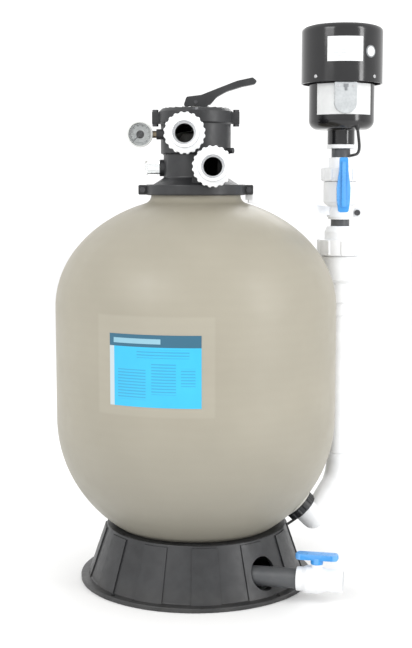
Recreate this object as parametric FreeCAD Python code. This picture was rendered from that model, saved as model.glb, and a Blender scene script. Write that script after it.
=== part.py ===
"""Top-mount sand filter tank with a multiport valve, an air scour blower on a riser and a drain valve.

Millimetres. +Z is up, the origin is on the floor at the tank's axis, and the valve's pump and return
ports face -Y. Each piece of the real assembly is one node, written to parts/NODE.step.
"""
import FreeCAD
import Part
import math
import os

V = FreeCAD.Vector
UP, DOWN = V(0, 0, 1), V(0, 0, -1)
RIGHT, FRONT, BACK = V(1, 0, 0), V(0, -1, 0), V(0, 1, 0)

# ---------------------------------------------------------------- fits
running = 0.06        # radial clearance of a shaft in its bore
sliding = 0.3         # gap between parts that pass or face each other
thread_gap = 0.3      # radial gap that stands for a screw thread

# ---------------------------------------------------------------- tank
tank_radius = 306.0
tank_wall = 6.0
lower_dome_z = 362.0          # where the straight wall starts
lower_dome_height = 291.0
straight_wall = 244.0
upper_dome_height = 239.0
neck_radius = 97.0
neck_flare = 18.0
mouth_radius = 76.0
tank_port_radius = 22.0       # holes for the drain and air fittings
neck_top_z = 858.0
neck_flange_radius = 104.0
neck_flange = 8.0             # thickness of the neck's flange and of the valve's
flange_bevel = 2.5

# ---------------------------------------------------------------- base skirt
skirt_top_radius = 198.0
skirt_top_z = 124.0
skirt_foot_radius = 235.0
skirt_wall = 5.0
skirt_flange_radius = 257.0
skirt_flange = 10.0
skirt_ledge = 6.0
panel_count = 12
panel_depth = 3.0             # at the foot
panel_top_depth = 1.0
anchor_circle_radius = 246.0
anchor_hole_radius = 5.0
anchor_count = 4
pipe_relief = 3.0             # gap round the drain pipe where it passes the skirt

# ---------------------------------------------------------------- label on the tank
label_start_deg = -33.5       # from the front, positive towards +X
label_end_deg = 2.5
label_low_z = 433.0
label_height = 144.0
label_thickness = 0.4

# ---------------------------------------------------------------- multiport valve
port_socket_radius = 24.2     # slip socket of the pipes' unions
port_socket_depth = 33.0
port_bore_radius = 19.5
port_spigot_radius = 25.0
port_reach = 139.0            # from the valve's axis to the union's sealing face
port_nut_radius = 43.0
port_nut_length = 36.0
port_thread_radius = 36.0
pump_port_x, pump_port_z = -22.0, 974.0
return_port_x, return_port_z = 36.0, 906.0
waste_port_x = 38.0
valve_lower_radius = 69.5
valve_upper_radius = 75.5
valve_step_z = 936.0
seat_z = 946.0                # top of the port plate
seat_thickness = 7.0
valve_wall = 8.0
valve_rim_z = 1011.0
rim_radius = 80.0
rim_thickness = 12.0
lug_reach = 94.0
lug_width = 18.0
lid_top_z = 1031.0
lid_flange = 13.0
lid_screw_radius = 4.0
lid_screw_circle = 87.0
screw_head_radius = 6.5
neck_seal_radius, neck_seal_section = 88.0, 2.0
lid_seal_radius, lid_seal_section = 71.5, 1.5
stem_seal_low, stem_seal_high = 1012.0, 1015.0
washer_thickness = 1.5
lid_top_thickness = 8.0
gasket_thickness = 2.0
rotor_radius = 62.0
rotor_height = 34.0
stem_radius = 11.0
spring_radius = 24.0
spring_wire = 2.2
spring_turns = 3
pin_z = 1045.0
pin_radius = 4.0
cam_offset = 14.0             # the cam's centre is this far out from the handle pin
hub_half_width = 14.0
tongue_half_width = 6.0
tongue_reach = 9.0            # half the tongue's length, and its height above the pin
standpipe_radius = 24.0
standpipe_bore = 20.5

# ---------------------------------------------------------------- gauge and sight glass
gauge_radius = 27.5
gauge_x, gauge_y, gauge_z = -119.0, -20.0, 976.0
gauge_depth = 22.0
gauge_stem_radius = 4.5
gauge_sweep_deg = 270.0       # from zero, low on the left, round to full scale
gauge_boss_reach = 84.0       # from the valve's axis to the gauge boss's face
sight_glass_radius = 15.0
sight_glass_z = 905.0
sight_glass_tip_x = -110.0

# ---------------------------------------------------------------- air riser
riser_x, riser_y = 327.0, 120.0
pipe_radius = 21.1            # 42.2 mm pipe
pipe_bore = 17.6
socket_radius = 21.3
air_port_radius = 225.0       # how far from the tank's axis the side fitting leaves the dome
elbow_radius = 26.0
elbow_distance = 49.5         # from the dome to the elbow's corner
bulkhead_nut_end = 23.0       # from the dome to the nut's outer face
bend_rise = 64.0
bend_outer = 25.4
bend_radius = 60.0
bend_top_z = 251.0
pipe_top_z = 590.0
check_bottom_z, check_step_z, check_body_z, check_top_z = 573.0, 602.0, 650.0, 710.0
check_nut_z = 746.0
check_end_z = 776.0
check_body_radius = 43.0
check_nut_radius = 53.0
check_chamber_radius = 34.0
flapper_radius = 23.5
flapper_hinge_offset = 28.0
trunnion_radius, trunnion_reach = 2.5, 14.5
air_body_z, air_nut_z, air_socket_z, air_end_z = 791.0, 877.0, 908.0, 930.0
air_ball_z = 850.0
air_ball_radius = 24.0
air_body_radius = 38.5
air_hub_radius = 27.5
air_nut_radius = 45.5
air_bore = 16.0
ball_gap = 0.15
valve_stem_radius = 7.0
strap_z, strap_height = 796.0, 20.0
arm_thickness = 4.0
arm_height = 19.0
clamp_bolt_x = 115.0          # clamp bolts, one of which holds the arm
clamp_bolt_radius = 4.0

# ---------------------------------------------------------------- blower
blower_ring_z = 950.0
blower_neck_z = 959.0
blower_body_z = 992.0
blower_seat_z = 1112.0
cap_bottom_z = 1093.0
cap_top_z = 1220.0
cap_radius = 90.5
blower_radius = 73.0
blower_wall = 3.5
blower_neck_radius = 30.5
motor_radius = 50.0
motor_height = 78.0
bearing_radius, bearing_bore, bearing_width = 11.0, 4.0, 7.0
impeller_radius = 62.0
blade_count = 8
cap_screw_z = 1105.0
cover_width, cover_height, cover_depth = 49.0, 68.0, 12.0

# ---------------------------------------------------------------- power cord
cord_radius = 3.3
cord_exit = V(357, 62, 990)
cord_route = [
    cord_exit,
    V(360, 61, 968), V(363, 72, 949), V(362, 93, 938), V(358, 120, 936), V(346, 149, 934),
    V(331, 178, 916), V(327, 186, 870), V(326, 183, 800), V(328, 186, 735), V(328, 180, 665),
    V(327, 160, 595), V(328, 152, 520), V(327, 153, 445), V(328, 153, 370), V(328, 156, 300),
    V(327, 163, 232), V(318, 182, 175), V(298, 207, 125), V(266, 236, 80), V(225, 268, 36),
    V(183, 306, 4), V(130, 334, 3.6), V(78, 359, 3.6),
]
tail_route = [V(60, 363, 5), V(34, 365, 9), V(8, 364, 12)]
coil_centre = V(60, 325, 0)
coil_mean_radius = 36.0
coil_bundle_width = 14.0

# ---------------------------------------------------------------- drain
drain_x, drain_y, drain_z = 143.5, -169.5, 50.0    # where the pipe passes the skirt
drain_direction = V(0.978, -0.208, 0).normalize()
drain_start = 132.0           # from there back to the bottom fitting's axis
drain_pipe_end = 92.0         # and forward to the pipe's end in the valve
drain_valve_length = 97.0
drain_body_radius = 26.0
drain_ball_radius = 21.0
drain_bore = 14.0
drain_ball_place = 42.0       # from the drain valve's inner end to its ball
slip_depth = 22.0             # how far a pipe goes into a fitting's socket
skirt_hole_radius = 34.0
tee_length, tee_width, tee_height = 90.0, 24.0, 12.0
tee_z = 94.0

# ---------------------------------------------------------------- inside the tank
hub_z, hub_height, hub_radius = 130.0, 45.0, 45.0
lateral_count = 8
lateral_radius = 11.0
lateral_tip = 185.0
slot_count = 9
diffuser_radius = 70.0
diffuser_z = 806.0


# ================================================================ helpers
def outline(points):
    """Closed face in the XZ plane; each point is (x, z) or (x, z, corner radius)."""
    corners = [V(p[0], 0, p[1]) for p in points]
    edges = []
    ends = []
    for i, corner in enumerate(corners):
        radius = points[i][2] if len(points[i]) > 2 else 0
        back = corners[i - 1] - corner
        ahead = corners[(i + 1) % len(corners)] - corner
        if radius == 0:
            ends.append((corner, corner))
            continue
        half = back.getAngle(ahead) / 2
        reach = min(radius / math.tan(half), 0.49 * back.Length, 0.49 * ahead.Length)
        radius = reach * math.tan(half)
        start = corner + V(back).normalize() * reach
        end = corner + V(ahead).normalize() * reach
        inward = (V(back).normalize() + V(ahead).normalize()).normalize()
        middle = corner + inward * (radius / math.sin(half) - radius)
        edges.append(Part.Arc(start, middle, end).toShape())
        ends.append((start, end))
    for i, (start, end) in enumerate(ends):
        following = ends[(i + 1) % len(ends)][0]
        if end.distanceToPoint(following) > 1e-6:
            edges.append(Part.makeLine(end, following))
    return Part.Face(Part.Wire(Part.__sortEdges__(edges)))


def placed(shape, base, axis=UP):
    shape.Placement = FreeCAD.Placement(base, FreeCAD.Rotation(UP, axis))
    return shape


def turned(points, base=V(0, 0, 0), axis=UP):
    """The outline's (radius, height) points turned about the line through base along axis."""
    solid = outline(points).revolve(V(0, 0, 0), UP, 360)
    return placed(solid, base, axis)


def ring(outer, inner, start, end, base=V(0, 0, 0), axis=UP, edge=0.0):
    corners = [(inner, start), (outer, start, edge), (outer, end, edge), (inner, end)]
    if edge == 0:
        corners = [corner[:2] for corner in corners]
    return turned(corners, base, axis)


def rod(radius, start, end):
    return Part.makeCylinder(radius, start.distanceToPoint(end), start, end - start)


def box(low, high):
    return Part.makeBox(high[0] - low[0], high[1] - low[1], high[2] - low[2], V(*low))


def extruded(points, low, high):
    """The outline in the XZ plane, carried along Y from low to high."""
    face = outline(points)
    face.translate(V(0, low, 0))
    return face.extrude(V(0, high - low, 0))


def fused(shapes):
    whole = shapes[0].multiFuse(shapes[1:])
    return whole.removeSplitter()


def around(shape, count, base=V(0, 0, 0), axis=UP, first=0.0):
    copies = []
    for i in range(count):
        copy = shape.copy()
        copy.rotate(base, axis, first + 360.0 * i / count)
        copies.append(copy)
    return copies


def one(shape):
    """The shape as one solid."""
    solids = sorted(shape.Solids, key=lambda s: s.Volume)
    return solids[-1]


def nut_ring(outer, inner, start, end, base, axis, grips=10, lip=None):
    """A hand nut with rounded grips, and a lip (inner radius, thickness) at its far end."""
    blank = ring(outer - 2.5, inner, start, end, base, axis, edge=1.5)
    grip = turned([(0, start + 2), (4.5, start + 2, 1.5), (4.5, end - 2, 1.5), (0, end - 2)])
    grip.translate(V(outer - 4.5, 0, 0))
    grips_on = []
    for i in range(grips):
        copy = grip.copy()
        copy.rotate(V(0, 0, 0), UP, 360.0 * (i + 0.5) / grips)
        copy.Placement = FreeCAD.Placement(base, FreeCAD.Rotation(UP, axis)).multiply(copy.Placement)
        grips_on.append(copy)
    bore = placed(Part.makeCylinder(inner, end - start + 2, V(0, 0, start - 1)), base, axis)
    nut = fused([blank] + grips_on).cut(bore)
    if lip:
        lip_radius, lip_thickness = lip
        nut = fused([nut, ring(inner + 1, lip_radius, end - lip_thickness, end, base, axis)])
    return nut


def pipe_along(points, radius, bends):
    """A round bar along straight runs joined by tangent arcs; bends gives each arc's radius."""
    edges = []
    here = points[0]
    for i in range(1, len(points) - 1):
        back = V(points[i - 1] - points[i]).normalize()
        ahead = V(points[i + 1] - points[i]).normalize()
        half = back.getAngle(ahead) / 2
        reach = bends[i - 1] / math.tan(half)
        start, end = points[i] + back * reach, points[i] + ahead * reach
        middle = points[i] + V(back + ahead).normalize() * (bends[i - 1] / math.sin(half) - bends[i - 1])
        edges.append(Part.makeLine(here, start))
        edges.append(Part.Arc(start, middle, end).toShape())
        here = end
    edges.append(Part.makeLine(here, points[-1]))
    path = Part.Wire(edges)
    section = Part.Wire(Part.makeCircle(radius, points[0], points[1] - points[0]))
    return path, path.makePipeShell([section], True, True)


def ellipse_arc(half_width, half_height, centre_z, sign, end=math.pi / 2):
    """Ellipse in the XZ plane from (half_width, centre_z), up or down, through the eccentric angle."""
    side = V(half_width, 0, centre_z)
    pole = V(0, 0, centre_z + half_height)
    centre = V(0, 0, centre_z)
    if half_width >= half_height:
        first, last = (0, end) if sign > 0 else (-end, 0)
        return Part.Ellipse(side, pole, centre).toShape(first, last)
    far_side = V(-half_width, 0, centre_z)
    first, last = (-math.pi / 2, end - math.pi / 2) if sign > 0 else (-math.pi / 2 - end, -math.pi / 2)
    return Part.Ellipse(pole, far_side, centre).toShape(first, last)


def turned_edges(edges):
    face = Part.Face(Part.Wire(Part.__sortEdges__(edges)))
    solid = Part.Solid(face.revolve(V(0, 0, 0), UP, 360).Shells[0])
    if solid.Volume < 0:
        solid.reverse()
    return solid


def dome_shape(offset):
    """Tank body set in from the outside by offset, without its neck."""
    radius = tank_radius - offset
    low = ellipse_arc(radius, lower_dome_height - offset, lower_dome_z, -1)
    high = ellipse_arc(radius, upper_dome_height - offset, upper_dome_z, 1)
    wall = Part.makeLine(V(radius, 0, lower_dome_z), V(radius, 0, upper_dome_z))
    axis = Part.makeLine(V(0, 0, lower_dome_z - lower_dome_height + offset),
                         V(0, 0, upper_dome_z + upper_dome_height - offset))
    return turned_edges([low, wall, high, axis])


def flare_centre(angle):
    """Centre of the flare's arc if it left the upper dome at the eccentric angle, and that point."""
    point = V(tank_radius * math.cos(angle), 0, upper_dome_z + upper_dome_height * math.sin(angle))
    normal = V(math.cos(angle) / tank_radius, 0, math.sin(angle) / upper_dome_height).normalize()
    return point + normal * neck_flare, point


def necked_shape():
    """The tank's outside with its neck and flange."""
    low_angle, high_angle = 0.0, math.pi / 2
    while high_angle - low_angle > 1e-9:
        angle = (low_angle + high_angle) / 2
        if flare_centre(angle)[0].x > neck_radius + neck_flare:
            low_angle = angle
        else:
            high_angle = angle
    centre, leaves = flare_centre(angle)
    joins = V(neck_radius, 0, centre.z)
    middle = centre + V((leaves - centre) + (joins - centre)).normalize() * neck_flare
    pole_z = lower_dome_z - lower_dome_height
    corners = [joins, V(neck_radius, 0, neck_top_z - neck_flange),
               V(neck_flange_radius, 0, neck_top_z - neck_flange + flange_bevel),
               V(neck_flange_radius, 0, neck_top_z), V(0, 0, neck_top_z), V(0, 0, pole_z)]
    edges = [ellipse_arc(tank_radius, lower_dome_height, lower_dome_z, -1),
             Part.makeLine(V(tank_radius, 0, lower_dome_z), V(tank_radius, 0, upper_dome_z)),
             ellipse_arc(tank_radius, upper_dome_height, upper_dome_z, 1, angle),
             Part.Arc(leaves, middle, joins).toShape()]
    edges += [Part.makeLine(start, end) for start, end in zip(corners, corners[1:])]
    return turned_edges(edges)


def lower_dome_at(radius):
    """Height and outward normal of the lower dome at a distance from the axis."""
    drop = lower_dome_height * math.sqrt(1 - (radius / tank_radius) ** 2)
    normal = V(radius / tank_radius ** 2, 0, -drop / lower_dome_height ** 2)
    return lower_dome_z - drop, normal.normalize()


# ================================================================ places worked out from the sizes
upper_dome_z = lower_dome_z + straight_wall
riser = V(riser_x, riser_y, 0)
air_port_z, air_normal = lower_dome_at(air_port_radius)
air_port = V(air_port_radius, 0, air_port_z)
elbow_corner = air_port + air_normal * elbow_distance
bend_corner = V(riser_x, riser_y, elbow_corner.z + bend_rise)
bend_run = V(bend_corner - elbow_corner).normalize()
drain_point = V(drain_x, drain_y, drain_z)
drain_corner = drain_point - drain_direction * drain_start
drain_offset = math.hypot(drain_corner.x, drain_corner.y)
drain_port_z, drain_normal = lower_dome_at(drain_offset)
valve_start = drain_pipe_end - slip_depth
tank_outer = dome_shape(0)

nodes = {}


# ================================================================ tank
def tank():
    mouth = Part.makeCylinder(mouth_radius, 200, V(0, 0, neck_top_z - 100))
    shell = necked_shape().cut(dome_shape(tank_wall)).cut(mouth)
    air_hole = rod(tank_port_radius, air_port - air_normal * 30, air_port + air_normal * 10)
    drain_hole = rod(tank_port_radius, V(drain_corner.x, drain_corner.y, drain_port_z + 40),
                     V(drain_corner.x, drain_corner.y, drain_port_z - 30))
    groove = neck_seal()
    shell = shell.cut(air_hole).cut(drain_hole).cut(groove)
    nodes["tank_shell"] = one(shell.removeSplitter())


def neck_seal():
    """The O-ring between the tank's neck and the valve."""
    return placed(Part.makeTorus(neck_seal_radius, neck_seal_section), V(0, 0, neck_top_z))


def skirt():
    ledge_radius = skirt_top_radius * 0.6
    wall = turned([(skirt_foot_radius - skirt_wall, 0), (skirt_flange_radius, 0, 2),
                   (skirt_flange_radius, skirt_flange, 2), (skirt_foot_radius + 2, skirt_flange, 4),
                   (skirt_top_radius, skirt_top_z, 3), (ledge_radius, skirt_top_z),
                   (ledge_radius, skirt_top_z - skirt_ledge),
                   (skirt_top_radius - skirt_wall, skirt_top_z - skirt_ledge)])
    slope = (skirt_foot_radius - skirt_top_radius) / (skirt_top_z - skirt_flange)
    low_z, high_z = skirt_flange - 2, skirt_top_z - 5

    def wall_radius(z):
        return skirt_foot_radius + 2 - slope * (z - skirt_flange)
    band = turned([(wall_radius(low_z) - 4, low_z), (wall_radius(low_z) + panel_depth, low_z),
                   (wall_radius(high_z) + panel_top_depth, high_z), (wall_radius(high_z) - 4, high_z)])
    half = math.radians(7.5)
    reach = skirt_flange_radius * 1.2
    panel = band.common(front_wedge(-half, half, reach, skirt_top_z))
    panels = around(panel, panel_count, first=5.5)
    body = fused([wall] + panels)
    body = body.cut(tank_outer)
    hole_centre = V(drain_x, drain_y, drain_z + 6)
    outward = V(drain_x, drain_y, 0).normalize()
    body = body.cut(rod(skirt_hole_radius, hole_centre - outward * 40, hole_centre + outward * 40))
    body = body.cut(rod(pipe_radius + pipe_relief, drain_point - drain_direction * 80,
                        drain_point + drain_direction * 160))
    anchor = Part.makeCylinder(anchor_hole_radius, 3 * skirt_flange,
                               V(anchor_circle_radius, 0, -skirt_flange))
    for hole in around(anchor, anchor_count, first=45):
        body = body.cut(hole)
    nodes["base_skirt"] = one(body)


def front_wedge(start, end, reach, height):
    """A wedge from the floor up, between two angles from the front, positive towards +X."""
    corners = [V(0, 0, 0), V(reach * math.sin(start), -reach * math.cos(start), 0),
               V(reach * math.sin(end), -reach * math.cos(end), 0), V(0, 0, 0)]
    return Part.Face(Part.makePolygon(corners)).extrude(V(0, 0, height))


def tank_label():
    sector = ring(tank_radius + label_thickness, tank_radius, label_low_z, label_low_z + label_height)
    wedge = front_wedge(math.radians(label_start_deg), math.radians(label_end_deg),
                        tank_radius * 1.3, label_low_z + 2 * label_height)
    nodes["tank_label"] = one(sector.common(wedge))


# ================================================================ inside the tank
def internals():
    pipe_top = neck_top_z + 22
    nodes["standpipe"] = ring(standpipe_radius, standpipe_bore, hub_z + 15, pipe_top)
    hub = ring(hub_radius, standpipe_bore - 2, hub_z + 5, hub_z + hub_height, edge=3)
    floor = Part.makeCylinder(hub_radius, 5, V(0, 0, hub_z))
    seat = Part.makeCylinder(standpipe_radius, hub_height, V(0, 0, hub_z + 15))
    hub = fused([hub, floor]).cut(seat)
    root = hub_radius - 14
    middle = hub_z + hub_height / 2 - 2
    sockets = around(rod(lateral_radius - 3, V(0, 0, middle), V(hub_radius + 5, 0, middle)), lateral_count)
    counterbores = around(rod(lateral_radius, V(root, 0, middle), V(hub_radius + 5, 0, middle)),
                          lateral_count)
    nodes["lateral_hub"] = one(hub.cut(sockets[0].multiFuse(sockets[1:] + counterbores)))
    lateral = turned([(0, lateral_tip - 3), (lateral_radius - 3, lateral_tip - 3),
                      (lateral_radius - 3, root),
                      (lateral_radius, root), (lateral_radius, lateral_tip, 4), (0, lateral_tip)],
                     V(0, 0, middle), RIGHT)
    pitch = (lateral_tip - hub_radius - 20) / slot_count
    for i in range(slot_count):
        x = hub_radius + 10 + i * pitch
        lateral = lateral.cut(box((x, -lateral_radius - 1, middle - lateral_radius - 1),
                                  (x + 1.5, lateral_radius + 1, middle - 2)))
    nodes["laterals"] = Part.makeCompound(around(one(lateral), lateral_count))
    cup = turned([(standpipe_radius + 3, diffuser_z), (diffuser_radius, diffuser_z, 4),
                  (diffuser_radius, neck_top_z - 2), (mouth_radius - 0.5, neck_top_z - 2),
                  (mouth_radius - 0.5, neck_top_z), (diffuser_radius - 4, neck_top_z),
                  (diffuser_radius - 4, diffuser_z + 4), (standpipe_radius + 3, diffuser_z + 4)])
    slot = box((diffuser_radius - 8, -6, diffuser_z + 10), (diffuser_radius + 4, 6, neck_top_z - 12))
    for cutter in around(slot, 12):
        cup = cup.cut(cutter)
    nodes["diffuser"] = one(cup)


# ================================================================ neck clamp
def neck_clamp():
    half_height = neck_flange + 3.5
    low, high = neck_top_z - half_height, neck_top_z + half_height
    lip = neck_flange_radius - 5
    grip = neck_flange + sliding
    band = turned([(lip, low), (neck_flange_radius + 4, low, 3), (neck_flange_radius + 4, high, 3),
                   (lip, high), (lip, neck_top_z + grip),
                   (neck_flange_radius + sliding, neck_top_z + grip - 2.5),
                   (neck_flange_radius + sliding, neck_top_z - grip + 2.5), (lip, neck_top_z - grip)])
    ear_tip = clamp_bolt_x + 9
    bolt_hole = clamp_bolt_radius + 0.2
    ear = extruded([(neck_flange_radius + 1, low + 1), (ear_tip, low + 1, 3), (ear_tip, high - 1, 3),
                    (neck_flange_radius + 1, high - 1)], -13, 13)
    band = fused([band] + around(ear, 2))
    band = band.cut(box((-150, -2.5, low - 1), (150, 2.5, high + 1)))
    bolt_x = clamp_bolt_x
    bore = rod(bolt_hole, V(bolt_x, -30, neck_top_z), V(bolt_x, 30, neck_top_z))
    for hole in around(bore, 2):
        band = band.cut(hole)
    fork = box((bolt_x - 2, -14, neck_top_z - 1.5), (ear_tip + 1, -10, neck_top_z + 1.5))
    front = one(band.common(box((-150, -150, low - 1), (150, 0, high + 1))))
    rear = one(band.common(box((-150, 0, low - 1), (150, 150, high + 1))))
    nodes["neck_clamp"] = Part.makeCompound([one(front.cut(fork)), rear])
    fasteners = []
    for x in (-bolt_x, bolt_x):
        shank = rod(clamp_bolt_radius, V(x, -13, neck_top_z), V(x, 26, neck_top_z))
        head = prism(6, screw_head_radius, V(x, -18, neck_top_z), BACK, 5)
        nut = prism(6, screw_head_radius, V(x, 13 + arm_thickness, neck_top_z), BACK, 6.5)
        fasteners += [one(fused([shank, head])), nut.cut(shank)]
    return fasteners


def prism(sides, radius, base, axis, length):
    corners = [V(radius * math.cos(2 * math.pi * i / sides), radius * math.sin(2 * math.pi * i / sides), 0)
               for i in range(sides)]
    face = Part.Face(Part.makePolygon(corners + corners[:1]))
    return placed(face.extrude(V(0, 0, length)), base, axis)


# ================================================================ multiport valve
ports = [(V(pump_port_x, 0, pump_port_z), FRONT), (V(return_port_x, 0, return_port_z), FRONT),
         (V(waste_port_x, 0, return_port_z), BACK)]


def valve_body():
    flange_top = neck_top_z + neck_flange
    plate_low = seat_z - seat_thickness
    cavity = valve_upper_radius - valve_wall - 1
    rim_low = valve_rim_z - rim_thickness
    body = turned([(0, neck_top_z), (neck_flange_radius, neck_top_z),
                   (neck_flange_radius, flange_top - flange_bevel, 0.8),
                   (neck_radius - 1, flange_top), (neck_radius - 4, flange_top + 3, 6),
                   (valve_lower_radius, flange_top + 18, 5), (valve_lower_radius, valve_step_z - 3, 3),
                   (valve_upper_radius, valve_step_z, 2), (valve_upper_radius, rim_low, 3),
                   (rim_radius, rim_low + 1, 2), (rim_radius, valve_rim_z), (0, valve_rim_z)])
    spigots = []
    bores = []
    for centre, way in ports:
        spigots.append(rod(port_spigot_radius, centre, centre + way * port_reach))
        spigots.append(ring(port_thread_radius, 0, port_reach - 21, port_reach, centre, way, edge=1))
        bores.append(rod(port_bore_radius, centre + way * 40, centre + way * (port_reach + 5)))
    lugs = around(box((rim_radius - 6, -lug_width / 2, rim_low),
                      (lug_reach, lug_width / 2, valve_rim_z)), 4)
    bosses = [rod(11, V(-60, gauge_y, gauge_z), V(-gauge_boss_reach, gauge_y, gauge_z)),
              rod(sight_glass_radius + 3, V(-50, 0, sight_glass_z), V(-78, 0, sight_glass_z)),
              rod(6, V(62, -32, valve_step_z + 5), V(80, -41, valve_step_z + 5)),
              extruded([(-9, flange_top - 1), (9, flange_top - 1), (6, flange_top + 26),
                        (-6, flange_top + 26)], -88, -60)]
    body = fused([body] + spigots + lugs + bosses)
    tube_wall = standpipe_radius + 5
    upper = Part.makeCylinder(cavity, valve_rim_z - seat_z + 1, V(0, 0, seat_z))
    lower = ring(valve_lower_radius - valve_wall, tube_wall, flange_top, plate_low)
    floor_way = ring(valve_lower_radius - valve_wall, tube_wall, neck_top_z - 1, flange_top + 1)
    body = body.cut(upper).cut(lower).cut(floor_way)
    body = body.cut(Part.makeCylinder(standpipe_radius, 22, V(0, 0, neck_top_z)))
    body = body.cut(Part.makeCylinder(standpipe_bore, 70, V(0, 0, neck_top_z)))
    web = box((tube_wall - 1, -2.5, flange_top), (valve_lower_radius - valve_wall + 1, 2.5, plate_low + 1))
    body = fused([body] + around(web, 3, first=90))
    window = ring(cavity - 8, tube_wall + 2, plate_low - 1, seat_z + 1)
    window = window.common(sector_prism(46, plate_low - 1, seat_z + 1))
    for cutter in around(window, 6, first=7):
        body = body.cut(cutter)
    for bore in bores:
        body = body.cut(bore)
    body = body.cut(lid_seal()).cut(neck_seal())
    body = body.cut(rod(gauge_stem_radius, V(-40, gauge_y, gauge_z), V(-90, gauge_y, gauge_z)))
    body = body.cut(rod(9, V(-40, 0, sight_glass_z), V(-70, 0, sight_glass_z)))
    body = body.cut(rod(sight_glass_radius, V(-70, 0, sight_glass_z), V(-90, 0, sight_glass_z)))
    screw = Part.makeCylinder(lid_screw_radius, rim_thickness + 2, V(lid_screw_circle, 0, rim_low - 1))
    for cutter in around(screw, 4):
        body = body.cut(cutter)
    nodes["valve_body"] = one(body)


def sector_prism(angle_deg, low, high):
    """A wedge about the axis from +X through the angle."""
    reach = 400.0
    middle = math.radians(angle_deg / 2)
    end = math.radians(angle_deg)
    corners = [V(0, 0, low), V(reach, 0, low), V(reach * math.cos(middle), reach * math.sin(middle), low),
               V(reach * math.cos(end), reach * math.sin(end), low)]
    return Part.Face(Part.makePolygon(corners + corners[:1])).extrude(V(0, 0, high - low))


def lid_seal():
    return placed(Part.makeTorus(lid_seal_radius, lid_seal_section), V(0, 0, valve_rim_z))


def valve_lid():
    cavity = valve_upper_radius - valve_wall - 1
    bore = stem_radius + running
    under = lid_top_z - lid_top_thickness
    lid = turned([(bore, under - 17), (18, under - 17), (18, under), (cavity - 5, under),
                  (cavity - 5, valve_rim_z - 4),
                  (cavity - 0.2, valve_rim_z - 4), (cavity - 0.2, valve_rim_z), (rim_radius, valve_rim_z),
                  (rim_radius, valve_rim_z + lid_flange, 2), (rim_radius - 7, lid_top_z, 3),
                  (bore, lid_top_z)])
    lugs = around(box((rim_radius - 6, -lug_width / 2, valve_rim_z),
                      (lug_reach, lug_width / 2, valve_rim_z + lid_flange)), 4)
    lid = fused([lid] + lugs)
    lid = lid.cut(lid_seal())
    screw = Part.makeCylinder(lid_screw_radius, 30, V(lid_screw_circle, 0, valve_rim_z - 5))
    for cutter in around(screw, 4):
        lid = lid.cut(cutter)
    lid = lid.cut(ring(stem_radius + 2.5, bore - 0.5, stem_seal_low, stem_seal_high))
    nodes["valve_lid"] = one(lid)
    top = valve_rim_z + lid_flange
    low = valve_rim_z - rim_thickness
    shank = rod(lid_screw_radius, V(lid_screw_circle, 0, low), V(lid_screw_circle, 0, top))
    head = prism(6, screw_head_radius, V(lid_screw_circle, 0, top), UP, 5)
    nut = prism(6, screw_head_radius, V(lid_screw_circle, 0, low), DOWN, 5.5)
    nodes["lid_screws"] = Part.makeCompound(around(one(fused([shank, head, nut])), 4))
    stem_seal = ring(stem_radius + 2.5, stem_radius + running, stem_seal_low, stem_seal_high)
    return [neck_seal(), lid_seal(), stem_seal]


def rotor_group():
    tube_wall = standpipe_radius + 5
    gasket = ring(rotor_radius + 1, standpipe_bore, seat_z, seat_z + gasket_thickness)
    window = ring(rotor_radius - 6, tube_wall + 2, seat_z - 1, seat_z + 4)
    window = window.common(sector_prism(48, seat_z - 1, seat_z + 4))
    for cutter in around(window, 6, first=6):
        gasket = gasket.cut(cutter)
    nodes["spider_gasket"] = one(gasket)
    low = seat_z + gasket_thickness + 0.1
    top = low + rotor_height
    stem_top = lid_top_z - 6
    rotor = turned([(0, low), (rotor_radius, low), (rotor_radius, low + 9, 2),
                    (rotor_radius - 14, top - 6, 6),
                    (30, top), (stem_radius, top, 3), (stem_radius, stem_top), (0, stem_top)])
    pocket = ring(rotor_radius - 8, 6, low - 1, low + 16).common(sector_prism(104, low - 1, low + 16))
    pocket.rotate(V(0, 0, 0), UP, 33)
    window = ring(rotor_radius + 1, rotor_radius - 26, low - 1, top).common(sector_prism(46, low - 1, top))
    window.rotate(V(0, 0, 0), UP, 187)
    rotor = rotor.cut(pocket).cut(window)
    reach = tongue_reach
    tongue = extruded([(-reach, stem_top - 2), (reach, stem_top - 2), (reach, pin_z + reach, reach - 0.1),
                       (-reach, pin_z + reach, reach - 0.1)], -tongue_half_width, tongue_half_width)
    rotor = fused([rotor, tongue]).cut(rod(pin_radius, V(0, -20, pin_z), V(0, 20, pin_z)))
    nodes["rotor"] = one(rotor)
    nodes["handle_pin"] = rod(pin_radius, V(0, -hub_half_width - 1, pin_z), V(0, hub_half_width + 1, pin_z))
    washer_z = lid_top_z - lid_top_thickness - washer_thickness - 0.1
    nodes["thrust_washer"] = ring(spring_radius + 5, 18.5, washer_z, washer_z + washer_thickness)
    spring_low, spring_high = top + spring_wire, washer_z - spring_wire
    pitch = (spring_high - spring_low - 0.5) / spring_turns
    helix = Part.makeLongHelix(pitch, pitch * spring_turns, spring_radius)
    helix.translate(V(0, 0, spring_low + 0.25))
    start = helix.Vertexes[0].Point
    section = Part.Wire(Part.makeCircle(spring_wire, start, BACK))
    coil = Part.Wire(helix.Edges).makePipeShell([section], True, True)
    nodes["rotor_spring"] = one(coil)


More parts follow.
